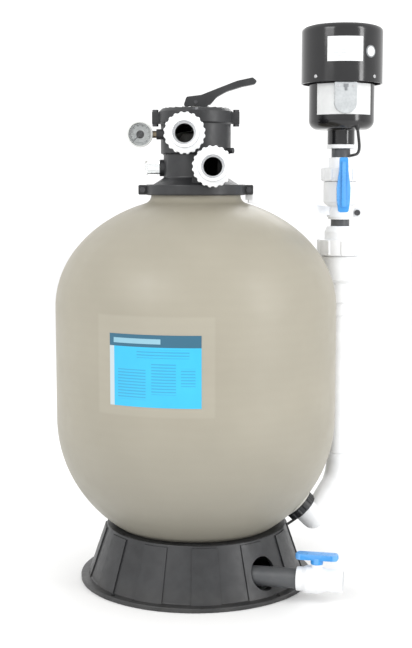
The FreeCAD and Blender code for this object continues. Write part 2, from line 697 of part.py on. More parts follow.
def handle():
    cam_radius = pin_z - lid_top_z - sliding
    lever = extruded([(-27, pin_z - 10, 4), (-20, pin_z + 11, 5), (12, pin_z + 15, 30),
                      (45, pin_z + 28, 60),
                      (89, pin_z + 45, 60), (122, pin_z + 52, 4), (132, pin_z + 44, 4),
                      (126, pin_z + 38, 6),
                      (100, pin_z + 33, 60), (67, pin_z + 23, 60), (45, pin_z + 11, 30), (32, pin_z - 4, 5),
                      (22, pin_z - 7, 2), (-8, pin_z - 7, 2)], -hub_half_width, hub_half_width)
    wide, narrow = hub_half_width + 1, hub_half_width - 4
    plan = [V(-40, -wide, 0), V(20, -wide, 0), V(136, -narrow, 0), V(136, narrow, 0), V(20, wide, 0),
            V(-40, wide, 0)]
    taper = Part.Face(Part.makePolygon(plan + plan[:1])).extrude(V(0, 0, pin_z + 100))
    lever = lever.common(taper)
    cam = rod(cam_radius, V(cam_offset, -hub_half_width, pin_z), V(cam_offset, hub_half_width, pin_z))
    body = fused([lever, cam])
    slot_half = tongue_half_width + sliding
    clear = tongue_reach + 1.0
    slot_reach = tongue_reach + (pin_z - lid_top_z) * 0.5 + 1.0
    slot = fused([rod(clear, V(0, -slot_half, pin_z), V(0, slot_half, pin_z)),
                  box((-slot_reach, -slot_half, lid_top_z - 5), (slot_reach, slot_half, pin_z))])
    body = body.cut(slot).cut(rod(pin_radius + running, V(0, -20, pin_z), V(0, 20, pin_z)))
    cap = box((-30, -20, lid_top_z - 20), (60, 20, lid_top_z + sliding))
    nodes["selector_handle"] = one(body.cut(cap))


def port_unions():
    tails, nuts = [], []
    for centre, way in ports:
        face = port_reach + 0.3
        collar = 8.0
        front = face + collar + 28
        hub = port_socket_radius + 6.0
        tail = turned([(port_bore_radius, face), (port_thread_radius - 0.4, face),
                       (port_thread_radius - 0.4, face + collar, 1), (hub, face + collar),
                       (hub, front, 1.2),
                       (port_socket_radius, front), (port_socket_radius, front - port_socket_depth),
                       (port_bore_radius, front - port_socket_depth)], centre, way)
        tails.append(tail)
        start = face + collar + 6.3 - port_nut_length
        nuts.append(one(nut_ring(port_nut_radius, port_thread_radius + thread_gap, start,
                                 start + port_nut_length, centre, way, 20, (hub + 0.4, 6.0))))
    nodes["port_tailpieces"] = Part.makeCompound(tails)
    nodes["port_union_nuts"] = Part.makeCompound(nuts)


def gauge_group():
    pivot_radius = 1.2
    centre = V(gauge_x, gauge_y + gauge_depth / 2, gauge_z)
    case = turned([(0, 0), (gauge_radius - 2, 0, 3), (gauge_radius - 2, gauge_depth - 6, 1),
                   (gauge_radius, gauge_depth - 5, 1), (gauge_radius, gauge_depth, 1.5),
                   (gauge_radius - 3, gauge_depth), (gauge_radius - 3, 6), (pivot_radius + running, 6),
                   (pivot_radius + running, 4), (0, 4)], centre, FRONT)
    nodes["gauge_case"] = case
    bar = extruded([(-1.3, -6), (1.3, -6), (0.6, 18), (-0.6, 18)], 0, 0.8)
    bar.translate(V(gauge_x, centre.y - 12, gauge_z))
    pivot = rod(pivot_radius, V(gauge_x, centre.y - 4.2, gauge_z), V(gauge_x, centre.y - 13, gauge_z))
    needle = fused([bar, pivot])
    needle.rotate(centre, BACK, -gauge_sweep_deg / 2)
    nodes["gauge_needle"] = one(needle)
    nodes["gauge_lens"] = ring(gauge_radius - 3.1, 0, gauge_depth - 3.5, gauge_depth - 1.5, centre, FRONT)
    boss_face = V(-gauge_boss_reach - 0.1, gauge_y, gauge_z)
    stem = fused([rod(gauge_stem_radius, V(-71, gauge_y, gauge_z), boss_face),
                  prism(6, 7.5, boss_face, V(-1, 0, 0), boss_face.x - gauge_x)])
    nodes["gauge_stem"] = one(stem.cut(case).cut(rod(gauge_radius - 2, centre,
                                                     centre + FRONT * gauge_depth)))
    seat_x = -70.0
    length = seat_x - sight_glass_tip_x
    outer = sight_glass_radius - 0.05
    glass = turned([(8, 0), (outer, 0), (outer, length, 3), (0, length), (0, length - 4),
                    (outer - 4, length - 4, 2), (outer - 4, 4), (8, 4)], V(seat_x, 0, sight_glass_z),
                    V(-1, 0, 0))
    nodes["sight_glass"] = glass


# ================================================================ air line
def side_fitting():
    def on_axis(points):
        return turned(points, air_port, air_normal)
    way_radius = 16.0
    neck_size = tank_port_radius - 0.2
    neck_end = bulkhead_nut_end + 5
    nodes["bulkhead_body"] = on_axis([(way_radius, -15), (34, -15, 1), (34, -11), (neck_size, -11),
                                      (neck_size, neck_end), (way_radius, neck_end)])
    gasket = tank_port_radius + 0.3
    inside = one(on_axis([(gasket, -11), (34, -11), (34, -5.5), (gasket, -5.5)]).cut(nodes["tank_shell"]))
    outside = one(on_axis([(gasket, -3), (37, -3), (37, 4, 1), (gasket, 4)]).cut(nodes["tank_shell"]))
    nodes["bulkhead_nut"] = one(nut_ring(36, neck_size + thread_gap, 4, bulkhead_nut_end, air_port,
                                         air_normal, 12))
    face = bulkhead_nut_end + 0.3
    outer = fused([rod(elbow_radius, air_port + air_normal * face, elbow_corner),
                   Part.makeSphere(elbow_radius, elbow_corner),
                   rod(elbow_radius, elbow_corner, elbow_corner + bend_run * 34)])
    outer = outer.cut(rod(60, air_port - air_normal * 30, air_port + air_normal * face))
    inner = [rod(tank_port_radius, air_port, air_port + air_normal * (neck_end + 0.2)),
             rod(way_radius, air_port, elbow_corner), Part.makeSphere(way_radius, elbow_corner),
             rod(way_radius, elbow_corner, elbow_corner + bend_run * 13),
             rod(socket_radius, elbow_corner + bend_run * 13, elbow_corner + bend_run * 40)]
    for cutter in inner:
        outer = outer.cut(cutter)
    nodes["air_elbow"] = one(outer)
    start = elbow_corner + bend_run * 34.3
    top = V(riser_x, riser_y, bend_top_z)
    body = pipe_along([start, bend_corner, top], bend_outer, [bend_radius])[1]
    stub = rod(pipe_radius, elbow_corner + bend_run * 13.3, start + bend_run)
    stub_start = elbow_corner + bend_run * 12
    bore = pipe_along([stub_start, bend_corner, V(riser_x, riser_y, bend_top_z + 5)], pipe_bore,
                      [bend_radius])[1]
    socket = rod(socket_radius, V(riser_x, riser_y, bend_top_z - 21), V(riser_x, riser_y, bend_top_z + 5))
    nodes["riser_bend"] = one(fused([body, stub]).cut(bore).cut(socket))
    nodes["riser_pipe"] = ring(pipe_radius, pipe_bore, bend_top_z - 21, pipe_top_z, riser)
    return [inside, outside]


def check_valve():
    hinge = V(riser_x, riser_y + flapper_hinge_offset, check_top_z - 5.3)
    thread = check_body_radius - 3
    body = turned([(socket_radius, check_bottom_z), (26, check_bottom_z, 1), (26, check_step_z, 1),
                   (33, check_step_z, 3), (33, check_body_z - 4, 1),
                   (check_body_radius, check_body_z + 4, 3),
                   (check_body_radius, check_top_z - 2, 1), (thread, check_top_z - 2),
                   (thread, check_top_z + 14),
                   (check_chamber_radius, check_top_z + 14), (check_chamber_radius, check_body_z),
                   (pipe_bore, check_body_z - 16), (pipe_bore, pipe_top_z),
                   (socket_radius, pipe_top_z)], riser)
    lug = box((9.6, flapper_hinge_offset - 3.6, -5), (18, check_chamber_radius + 2, 5))
    lugs = []
    for side in (0, 1):
        copy = lug.copy()
        if side:
            copy = copy.mirror(V(0, 0, 0), RIGHT)
        copy.translate(V(riser_x, riser_y, hinge.z))
        lugs.append(copy.cut(rod(trunnion_radius + running, hinge - RIGHT * 20, hinge + RIGHT * 20)))
    nodes["check_valve_body"] = one(fused([body] + lugs))
    flapper = fused([Part.makeCylinder(flapper_radius, 5, V(riser_x, riser_y, check_top_z - 6)),
                     box((riser_x - 7, riser_y + 15, check_top_z - 6),
                         (riser_x + 7, hinge.y, check_top_z - 1)),
                     rod(3.8, hinge - RIGHT * 9.3, hinge + RIGHT * 9.3),
                     rod(trunnion_radius, hinge - RIGHT * trunnion_reach, hinge + RIGHT * trunnion_reach)])
    nodes["check_flapper"] = one(flapper)
    tail = turned([(pipe_bore, check_top_z), (check_chamber_radius - sliding, check_top_z),
                   (check_chamber_radius - sliding, check_top_z + 14.3), (thread, check_top_z + 14.3),
                   (thread, check_top_z + 22, 1), (35, check_top_z + 22), (35, check_end_z - 12, 10),
                   (29, check_end_z, 3), (socket_radius, check_end_z), (socket_radius, check_end_z - 19),
                   (pipe_bore, check_end_z - 19)], riser)
    nut = nut_ring(check_nut_radius, thread + thread_gap, check_top_z, check_nut_z, riser, UP, 10,
                   (35.4, check_nut_z - check_top_z - 22.3))
    return tail, one(nut)


def air_valve():
    ball = V(riser_x, riser_y, air_ball_z)
    seat_reach = 17.0
    thread = air_body_radius - 2.5
    bore_wall = air_ball_radius + 0.5
    body = turned([(socket_radius, air_body_z), (air_hub_radius, air_body_z, 1),
                   (air_hub_radius, air_ball_z - 30, 4), (air_body_radius, air_ball_z - 22, 8),
                   (air_body_radius, air_nut_z - 1, 1), (thread, air_nut_z - 1), (thread, air_nut_z + 14),
                   (bore_wall, air_nut_z + 14), (bore_wall, air_ball_z - seat_reach - 9),
                   (air_bore, air_ball_z - seat_reach - 9), (air_bore, air_body_z + 20),
                   (socket_radius, air_body_z + 20)], riser)
    boss = rod(13, ball + FRONT * 26, ball + FRONT * 48)
    body = fused([body, boss])
    body = body.cut(rod(bore_wall, ball + DOWN * seat_reach, V(riser_x, riser_y, air_nut_z + 20)))
    body = body.cut(rod(valve_stem_radius + running, ball, ball + FRONT * 60))
    nodes["air_valve_body"] = one(body)
    end_face = air_nut_z + 14.3
    tail = turned([(air_bore, air_ball_z + seat_reach + 9), (bore_wall - 0.1, air_ball_z + seat_reach + 9),
                   (bore_wall - 0.1, end_face), (thread, end_face), (thread, end_face + 7, 1),
                   (air_hub_radius, end_face + 7), (air_hub_radius, air_end_z, 1),
                   (socket_radius, air_end_z),
                   (socket_radius, air_end_z - 18), (air_bore, air_end_z - 18)], riser)
    nut = nut_ring(air_nut_radius, thread + thread_gap, air_nut_z, air_socket_z, riser, UP, 10,
                   (air_hub_radius + 0.4, air_socket_z - end_face - 7.3))
    sphere = Part.makeSphere(air_ball_radius, ball)
    sphere = sphere.cut(rod(air_bore, ball + DOWN * 30, ball + UP * 30))
    key = box((riser_x - 8, riser_y - 25, air_ball_z - 3), (riser_x + 8, riser_y - 19, air_ball_z + 3))
    nodes["air_valve_ball"] = one(sphere.cut(key))
    tang = box((riser_x - 6, riser_y - 24, air_ball_z - 2.8),
               (riser_x + 6, riser_y - 19.2, air_ball_z + 2.8))
    tang = tang.common(rod(valve_stem_radius, ball + FRONT * 19, ball + FRONT * 30))
    stem = fused([rod(valve_stem_radius, ball + FRONT * 24.3, ball + FRONT * 62), tang])
    tip_flats = box((riser_x - 4.5, riser_y - 70, air_ball_z - 10),
                    (riser_x + 4.5, riser_y - 50, air_ball_z + 10))
    stem = one(stem.common(fused([tip_flats, rod(20, ball, ball + FRONT * 50)])))
    nodes["air_valve_stem"] = stem
    blade = extruded([(-9, 79, 3), (9, 79, 3), (10, 50, 30), (15, 12, 30), (14.5, -16, 8), (11, -42, 5),
                      (-11, -42, 5), (-14.5, -16, 8), (-15, 12, 30), (-10, 50, 30)], -66, -54)
    rib = extruded([(-4, 70, 2), (4, 70, 2), (5, -30, 2), (-5, -30, 2)], -70, -64)
    hub = rod(14, FRONT * 49, FRONT * 60)
    handle_shape = fused([blade, rib, hub])
    handle_shape.translate(ball)
    nodes["air_valve_handle"] = one(handle_shape.cut(stem).cut(rod(6.5, ball + FRONT * 40,
                                                                   ball + FRONT * 50.1)))
    lower_seat = ring(bore_wall, air_bore, -seat_reach - 9, -seat_reach + 6, ball)
    upper_seat = ring(bore_wall - 0.1, air_bore, seat_reach - 6, seat_reach + 9, ball)
    clear = Part.makeSphere(air_ball_radius + ball_gap, ball)
    return tail, one(nut), [one(lower_seat.cut(clear)), one(upper_seat.cut(clear))]


def riser_details():
    lower = ring(pipe_radius, pipe_bore, check_end_z - 19, air_body_z + 20, riser)
    upper = ring(pipe_radius, air_bore, air_end_z - 18, blower_neck_z + 15, riser)
    nodes["pipe_nipples"] = Part.makeCompound([lower, upper])
    strap_top = strap_z + strap_height
    strap_middle = V(riser_x, riser_y, strap_z + strap_height / 2)
    inner = air_hub_radius + 0.1
    strap = ring(inner + 2.9, inner, strap_z, strap_top, riser)
    ear = box((riser_x + inner - 1, riser_y - 7, strap_z), (riser_x + inner + 18, riser_y + 7, strap_top))
    clamp_back = 13.0
    start = V(clamp_bolt_x, clamp_back, neck_top_z - 19)
    end = strap_middle + FRONT * 4
    run = end - start
    side = V(-run.y, run.x, 0).normalize()
    half = arm_height / 2
    corners = [start + DOWN * half, end + DOWN * half, end + UP * half, start + UP * half]
    bar = Part.Face(Part.makePolygon(corners + corners[:1])).extrude(side * arm_thickness)
    tab = box((clamp_bolt_x - 7, clamp_back, neck_top_z - 22),
              (clamp_bolt_x + 9, clamp_back + arm_thickness, neck_top_z + 9))
    arm = fused([bar, tab, strap, ear])
    arm = arm.cut(rod(inner, strap_middle + DOWN * 40, strap_middle + UP * 40))
    arm = arm.cut(box((riser_x, riser_y - 1.5, strap_z - 5), (riser_x + 60, riser_y + 1.5, strap_top + 20)))
    arm = arm.cut(rod(clamp_bolt_radius + 0.2, V(clamp_bolt_x, 0, neck_top_z),
                      V(clamp_bolt_x, 30, neck_top_z)))
    bolt_line = strap_middle + RIGHT * (inner + 10)
    bolt_radius = 3.0
    arm = arm.cut(rod(bolt_radius + 0.1, bolt_line + FRONT * 30, bolt_line + BACK * 30))
    nodes["support_arm"] = one(arm.cut(nodes["air_valve_body"]))
    bolt = fused([rod(bolt_radius, bolt_line + FRONT * 7, bolt_line + BACK * 16),
                  rod(6.5, bolt_line + FRONT * 13, bolt_line + FRONT * 7),
                  prism(6, 6.0, bolt_line + BACK * 7, BACK, 5)])
    return one(bolt)


# ================================================================ blower
def blower():
    base = riser
    sleeve = blower_neck_radius - 3.7
    collar = [(socket_radius, blower_ring_z), (31.5, blower_ring_z, 1.5), (31.5, blower_neck_z - 0.1, 1.5),
              (sleeve, blower_neck_z - 0.1), (sleeve, blower_neck_z + 27), (air_bore, blower_neck_z + 27),
              (air_bore, blower_neck_z + 15), (socket_radius, blower_neck_z + 15)]
    nodes["blower_collar"] = turned(collar, base)
    wall = blower_wall
    inner = blower_radius - wall
    body = turned([(sleeve + 0.2, blower_neck_z), (blower_neck_radius, blower_neck_z, 1),
                   (blower_neck_radius, blower_body_z, 3), (blower_radius, blower_body_z, 23),
                   (blower_radius, blower_seat_z), (inner, blower_seat_z),
                   (inner, blower_body_z + wall, 23 - wall), (sleeve + 0.2, blower_body_z + wall)], base)
    lug = box((blower_radius - 2, -9, blower_seat_z - 14), (cap_radius - 5, 9, blower_seat_z))
    lug = lug.common(Part.makeCylinder(cap_radius - wall - 0.1, 400, V(0, 0, blower_seat_z - 50)))
    lugs = []
    for copy in around(lug, 4, first=45):
        copy.translate(base)
        lugs.append(copy)
    body = fused([body] + lugs)
    screw = turned([(0, cap_radius - 14), (2.0, cap_radius - 14), (2.0, cap_radius), (4.0, cap_radius),
                    (4.0, cap_radius + 1.6, 1.4), (0, cap_radius + 1.6)], V(0, 0, cap_screw_z), RIGHT)
    screws = []
    for copy in around(screw, 4, first=45):
        copy.translate(base)
        screws.append(copy)
        body = body.cut(copy)
    nodes["blower_housing"] = one(body)
    nodes["blower_screws"] = Part.makeCompound(screws)
    cap = turned([(0, cap_top_z), (cap_radius, cap_top_z, 14), (cap_radius, cap_bottom_z, 1),
                  (cap_radius - wall, cap_bottom_z), (cap_radius - wall, cap_top_z - wall, 14 - wall),
                  (0, cap_top_z - wall)], base)
    for cutter in screws:
        cap = cap.cut(cutter)
    nodes["blower_cap"] = one(cap)
    foot = blower_seat_z + 0.2
    top = foot + motor_height
    neck = bearing_bore + 2.5
    bearing_top = top - 2
    bearing_low = bearing_top - bearing_width
    hollow = motor_radius - 20
    motor = turned([(bearing_radius, foot), (blower_radius, foot), (blower_radius, foot + 5, 1),
                    (motor_radius, foot + 5, 2), (motor_radius, top, 6), (0, top), (0, bearing_top),
                    (bearing_radius, bearing_top), (bearing_radius, bearing_low), (neck, bearing_low),
                    (neck, bearing_low - 3), (hollow, bearing_low - 3), (hollow, foot + 10),
                    (neck, foot + 10),
                    (neck, foot + bearing_width), (bearing_radius, foot + bearing_width)], base)
    nodes["blower_motor"] = motor
    pair = [ring(bearing_radius, bearing_bore + running, foot, foot + bearing_width, base),
            ring(bearing_radius, bearing_bore + running, bearing_low, bearing_top, base)]
    nodes["motor_bearings"] = Part.makeCompound(pair)
    disc_z = foot - 50
    nodes["motor_shaft"] = rod(bearing_bore, V(base.x, base.y, disc_z - 24),
                               V(base.x, base.y, bearing_top - 0.5))
    hub = ring(12, bearing_bore, disc_z - 22, disc_z + 12, base)
    disc = ring(impeller_radius, bearing_bore, disc_z, disc_z + 3, base)
    shroud = ring(impeller_radius, 30, disc_z - 23, disc_z - 20.5, base)
    blade = box((12, -1.2, disc_z - 21), (impeller_radius - 1, 1.2, disc_z + 1))
    blade.rotate(V(30, 0, 0), UP, 25)
    blades = []
    for copy in around(blade, blade_count):
        copy.translate(base)
        blades.append(copy)
    wheel = fused([hub, disc, shroud] + blades)
    wheel = wheel.common(ring(impeller_radius, bearing_bore, disc_z - 30, disc_z + 30, base))
    nodes["blower_impeller"] = one(wheel)
    half = cover_width / 2
    top_z = cap_bottom_z - 1
    front = riser_y - blower_radius - cover_depth
    cover = extruded([(-half, top_z, 2), (half, top_z, 2), (half, top_z - cover_height, half - 1),
                      (-half, top_z - cover_height, half - 1)], front, riser_y - 40)
    cover.translate(V(riser_x, 0, 0))
    cover = cover.makeFillet(2.0, [e for e in cover.Edges if abs(e.CenterOfMass.y - front) < 0.01])
    body_space = Part.makeCylinder(blower_radius + 1, 300, V(riser_x, riser_y, blower_body_z))
    nodes["wiring_cover"] = one(cover.cut(body_space))


# ================================================================ power cord
def bend_radii(route):
    """As large an arc at each inner point as its two runs allow."""
    radii = []
    for i in range(1, len(route) - 1):
        back, ahead = route[i - 1] - route[i], route[i + 1] - route[i]
        half_turn = (math.pi - back.getAngle(ahead)) / 2
        radii.append(0.45 * min(back.Length, ahead.Length) / math.tan(half_turn))
    return radii


def cord_along(route):
    radii = bend_radii(route)
    path, tube = pipe_along(route, cord_radius, radii)
    ratio = tube.Volume / (math.pi * cord_radius ** 2 * path.Length)
    print("cord length", round(path.Length), "bend radii", [round(radius) for radius in radii],
          "volume to section times length", round(ratio, 4))
    return one(tube)


def cord():
    tube = cord_along(cord_route)
    tail = cord_along(tail_route)
    nodes["cord_tube"] = Part.makeCompound([tube, tail])
    half = coil_bundle_width / 2
    coil = ring(coil_mean_radius + half, coil_mean_radius - half, 0.3, 13.5, coil_centre, UP, 4)
    nodes["cord_coil"] = one(coil.cut(tube).cut(tail))
    tip = tail_route[-1]
    plug_body = [(0, 0), (4.5, 0, 1), (7, 14, 4), (12, 22, 4), (12, 44, 2), (0, 44)]
    plug = fused([turned(plug_body, tip, tip - tail_route[-2]),
                  box((tip.x - 60, tip.y - 7.2, tip.z - 3.2), (tip.x - 43, tip.y - 5.6, tip.z + 3.2)),
                  box((tip.x - 60, tip.y + 5.6, tip.z - 3.2), (tip.x - 43, tip.y + 7.2, tip.z + 3.2)),
                  rod(2.4, V(tip.x - 43, tip.y, tip.z + 8), V(tip.x - 63, tip.y, tip.z + 8))])
    nodes["cord_plug"] = one(plug)
    gland = turned([(0, 0), (cord_radius + 1.2, 0, 0.8), (cord_radius + 4.0, 22, 2),
                    (cord_radius + 4.0, 26),
                    (0, 26)], cord_exit, cord_route[0] - cord_route[1])
    shell = nodes["blower_housing"]
    nodes["blower_housing"] = one(shell.cut(gland))
    nodes["cord_gland"] = one(gland)


# ================================================================ drain
def drain():
    top = V(drain_corner.x, drain_corner.y, drain_port_z + 20)
    neck_size = tank_port_radius - 0.2
    way_radius = 15.0
    socket_end, socket_floor = 34.0, 14.0
    fitting = fused([rod(neck_size, drain_corner, top), Part.makeSphere(drain_body_radius, drain_corner),
                     rod(drain_body_radius, drain_corner, drain_corner + drain_direction * socket_end),
                     rod(drain_body_radius, drain_corner,
                         V(drain_corner.x, drain_corner.y, drain_port_z - 12))])
    below = fitting.cut(tank_outer)
    neck = rod(neck_size, V(drain_corner.x, drain_corner.y, drain_port_z - 14), top)
    fitting = fused([one(below), neck])
    fitting = fitting.cut(rod(way_radius, drain_corner, top + UP * 10))
    fitting = fitting.cut(Part.makeSphere(way_radius, drain_corner))
    fitting = fitting.cut(rod(way_radius, drain_corner,
                              drain_corner + drain_direction * (socket_floor + 2)))
    fitting = fitting.cut(rod(socket_radius, drain_corner + drain_direction * socket_floor,
                              drain_corner + drain_direction * (socket_end + 10)))
    nodes["drain_fitting"] = one(fitting)
    pipe_start = drain_corner + drain_direction * (socket_floor + 0.2)
    pipe_end = drain_point + drain_direction * drain_pipe_end
    nodes["drain_pipe"] = one(rod(pipe_radius, pipe_start,
                                  pipe_end).cut(rod(pipe_bore, pipe_start, pipe_end)))
    start = drain_point + drain_direction * valve_start
    centre = drain_ball_centre()
    reach = centre.distanceToPoint(start)
    end = drain_valve_length
    chamber = drain_ball_radius + 0.4
    hub = socket_radius + 3.7
    waist = drain_body_radius + 3
    body = turned([(socket_radius, 0), (hub, 0, 2), (hub, 12, 2), (waist, slip_depth, 6),
                   (waist, reach + 4, 10),
                   (hub - 1, reach + 20, 4), (hub - 1, end, 2), (socket_radius, end),
                   (socket_radius, end - slip_depth), (drain_bore, end - slip_depth),
                   (drain_bore, reach + 20),
                   (chamber, reach + 20), (chamber, reach - 20), (drain_bore, reach - 20),
                   (drain_bore, slip_depth), (socket_radius, slip_depth)], start, drain_direction)
    boss = rod(12, centre + UP * 22, centre + UP * 34)
    body = fused([body, boss]).cut(rod(chamber, centre - drain_direction * 19,
                                       centre + drain_direction * 19))
    body = body.cut(rod(valve_stem_radius - 1 + running, centre, centre + UP * 60))
    nodes["drain_valve_body"] = one(body)
    ball = Part.makeSphere(drain_ball_radius, centre)
    ball = ball.cut(rod(drain_bore, centre - drain_direction * 30, centre + drain_direction * 30))
    key = box((-8, -2.6, 16.5), (8, 2.6, 22))
    key.rotate(V(0, 0, 0), UP, drain_heading())
    key.translate(centre)
    ball = ball.cut(key)
    nodes["drain_valve_ball"] = one(ball)
    clear = Part.makeSphere(drain_ball_radius + ball_gap, centre)
    seats = [one(ring(chamber, drain_bore, 9, 20, centre, drain_direction).cut(clear)),
             one(ring(chamber, drain_bore, -20, -9, centre, drain_direction).cut(clear))]
    bar_low = tee_z - centre.z
    half = tee_length / 2
    bar_top = bar_low + tee_height
    bar = extruded([(-half, bar_low, 5), (half, bar_low, 5), (half, bar_top, 5), (-half, bar_top, 5)],
                   -tee_width / 2, tee_width / 2)
    ends = Part.Face(Part.Wire(rounded_bar(half, tee_width / 2))).extrude(V(0, 0, 60))
    bar = bar.common(ends)
    hub = Part.makeCylinder(13, bar_low + 4 - 34.6, V(0, 0, 34.6))
    stem = Part.makeCylinder(valve_stem_radius - 1, bar_low - 22, V(0, 0, 21.5))
    tang = box((-5, -2.4, 16.8), (5, 2.4, 24)).common(Part.makeCylinder(valve_stem_radius - 1, 40))
    tee = fused([bar, hub, stem, tang])
    tee.rotate(V(0, 0, 0), UP, drain_heading())
    tee.translate(centre)
    nodes["drain_handle"] = one(tee)
    return seats


def rounded_bar(half, width):
    """Plan of a bar with half-round ends; width is half the bar's width."""
    points = [V(-half + width, -width, 0), V(half - width, -width, 0), V(half, 0, 0),
              V(half - width, width, 0), V(-half + width, width, 0), V(-half, 0, 0)]
    return [Part.makeLine(points[0], points[1]), Part.Arc(points[1], points[2], points[3]).toShape(),
            Part.makeLine(points[3], points[4]), Part.Arc(points[4], points[5], points[0]).toShape()]


def drain_heading():
    return math.degrees(math.atan2(drain_direction.y, drain_direction.x))


def drain_ball_centre():
    return drain_point + drain_direction * (valve_start + drain_ball_place)


# ================================================================ build
tank()
skirt()
tank_label()
internals()
valve_body()
rotor_group()
handle()
port_unions()
gauge_group()
seals = valve_lid() + side_fitting()
bolts = neck_clamp()
check_end, check_nut = check_valve()
air_end, air_nut, seats = air_valve()
bolts.append(riser_details())
blower()
cord()
seats += drain()
nodes["seals"] = Part.makeCompound(seals)
nodes["clamp_and_strap_bolts"] = Part.makeCompound(bolts)
nodes["riser_union_ends"] = Part.makeCompound([check_end, air_end])
nodes["riser_union_nuts"] = Part.makeCompound([check_nut, air_nut])
nodes["ball_seats"] = Part.makeCompound(seats)

os.makedirs("parts", exist_ok=True)
for name, shape in nodes.items():
    shape.exportStep(os.path.join("parts", name + ".step"))
print(len(nodes), "nodes")
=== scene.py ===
# %% [markdown]
# # A sand filter tank, dressed for a studio view
# The imported CAD parts come first and stay where they are. Everything below gives them a camera, a
# cord that really hangs, finishes with grain, wear, painted shade and a painted edge highlight, and the
# thin trim that a solid model leaves out.

# %% Load the frame
import math

import bmesh
import bpy
from mathutils import Matrix, Vector


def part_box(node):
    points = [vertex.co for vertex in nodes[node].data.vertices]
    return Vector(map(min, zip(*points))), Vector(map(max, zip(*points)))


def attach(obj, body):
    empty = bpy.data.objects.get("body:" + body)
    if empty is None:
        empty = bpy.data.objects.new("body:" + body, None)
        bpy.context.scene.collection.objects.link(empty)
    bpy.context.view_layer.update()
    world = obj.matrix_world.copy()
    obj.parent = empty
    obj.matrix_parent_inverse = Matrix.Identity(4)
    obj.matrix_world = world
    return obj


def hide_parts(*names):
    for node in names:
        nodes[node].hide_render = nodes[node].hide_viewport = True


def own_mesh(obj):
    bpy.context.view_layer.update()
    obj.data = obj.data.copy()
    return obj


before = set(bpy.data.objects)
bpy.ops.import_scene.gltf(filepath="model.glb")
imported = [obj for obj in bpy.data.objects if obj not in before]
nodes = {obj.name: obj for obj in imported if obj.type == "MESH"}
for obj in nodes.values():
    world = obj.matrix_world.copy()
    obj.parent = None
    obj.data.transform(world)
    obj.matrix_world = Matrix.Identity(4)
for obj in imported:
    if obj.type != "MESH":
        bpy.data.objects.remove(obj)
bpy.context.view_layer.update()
MM = 0.001

# %% [markdown]
# ## Camera
# The tank is seen from the front, a little to the right of its axis and slightly from above. A long
# lens from two and a half metres keeps the dome's outline honest. Colours go to the screen without a
# film curve, so that the blues stay clean and the ground stays white.

# %% Camera
EYE = Vector((0.022, -2.62, 0.868))
TILT_DOWN = math.radians(6.6)
LENS = 66.67

camera_data = bpy.data.cameras.new("camera")
camera_data.lens = LENS
camera_data.sensor_width = 36.0
camera = bpy.data.objects.new("camera", camera_data)
camera.location = EYE
camera.rotation_euler = (math.pi / 2 - TILT_DOWN, 0, 0)
bpy.context.scene.collection.objects.link(camera)
bpy.context.scene.camera = camera
bpy.context.scene.view_settings.view_transform = "Standard"

# %% [markdown]
# ## Finishes
# Almost every part here is moulded plastic, and plastic is never one flat colour: the pigment drifts a
# little over a hand's width, the mould leaves a fine grain, and handling changes how it shines. One
# helper builds that from three noises, all in metres on Object coordinates, so that the grain keeps
# its real size on every part.

# %% Helpers for materials
def start_material(name):
    finish = bpy.data.materials.new(name)
    finish.use_nodes = True
    tree = finish.node_tree
    return finish, tree, tree.nodes["Principled BSDF"]


def add(tree, kind, **settings):
    node = tree.nodes.new(kind)
    for key, value in settings.items():
        setattr(node, key, value)
    return node


def noise(tree, size, detail=3.0):
    """Noise whose lumps are about size metres across."""
    place = add(tree, "ShaderNodeTexCoord")
    lumps = add(tree, "ShaderNodeTexNoise")
    lumps.inputs["Scale"].default_value = 1.0 / size
    lumps.inputs["Detail"].default_value = detail
    tree.links.new(place.outputs["Object"], lumps.inputs["Vector"])
    return lumps.outputs["Fac"]


def spread(tree, value, low, high, start=0.3, end=0.7):
    """The value from start to end, spread over low to high."""
    ramp = add(tree, "ShaderNodeMapRange")
    ramp.inputs["From Min"].default_value = start
    ramp.inputs["From Max"].default_value = end
    ramp.inputs["To Min"].default_value = low
    ramp.inputs["To Max"].default_value = high
    tree.links.new(value, ramp.inputs["Value"])
    return ramp.outputs["Result"]


def mixed(tree, factor, first, second):
    """Two colours mixed; each is a colour or a socket, and factor a number or a socket."""
    mix = add(tree, "ShaderNodeMix", data_type="RGBA")
    for socket, value in ((mix.inputs["Factor"], factor), (mix.inputs["A"], first),
                          (mix.inputs["B"], second)):
        if isinstance(value, bpy.types.NodeSocket):
            tree.links.new(value, socket)
        elif isinstance(value, tuple):
            socket.default_value = (*value, 1.0)
        else:
            socket.default_value = value
    return mix.outputs["Result"]


def math_node(tree, operation, first, second=0.0):
    node = add(tree, "ShaderNodeMath", operation=operation)
    for socket, value in zip(node.inputs, (first, second)):
        if isinstance(value, bpy.types.NodeSocket):
            tree.links.new(value, socket)
        else:
            socket.default_value = value
    return node.outputs["Value"]


def grain(tree, shader, size, depth, strength=1.0):
    """A fine moulded surface: lumps of size metres, depth metres deep."""
    bump = add(tree, "ShaderNodeBump")
    bump.inputs["Strength"].default_value = strength
    bump.inputs["Distance"].default_value = depth
    tree.links.new(noise(tree, size, 2.0), bump.inputs["Height"])
    tree.links.new(bump.outputs["Normal"], shader.inputs["Normal"])
    return bump


def moulded(name, colour, drift, rough, grain_size=0.0006, grain_depth=0.00004, drift_size=0.05):
    """Moulded plastic: its colour drifts to a second one, and its gloss varies."""
    finish, tree, shader = start_material(name)
    shade = mixed(tree, spread(tree, noise(tree, drift_size), 0.0, 1.0), colour, drift)
    tree.links.new(shade, shader.inputs["Base Color"])
    gloss = spread(tree, noise(tree, drift_size * 0.4), rough[0], rough[1])
    tree.links.new(gloss, shader.inputs["Roughness"])
    grain(tree, shader, grain_size, grain_depth)
    return finish, tree, shader, shade
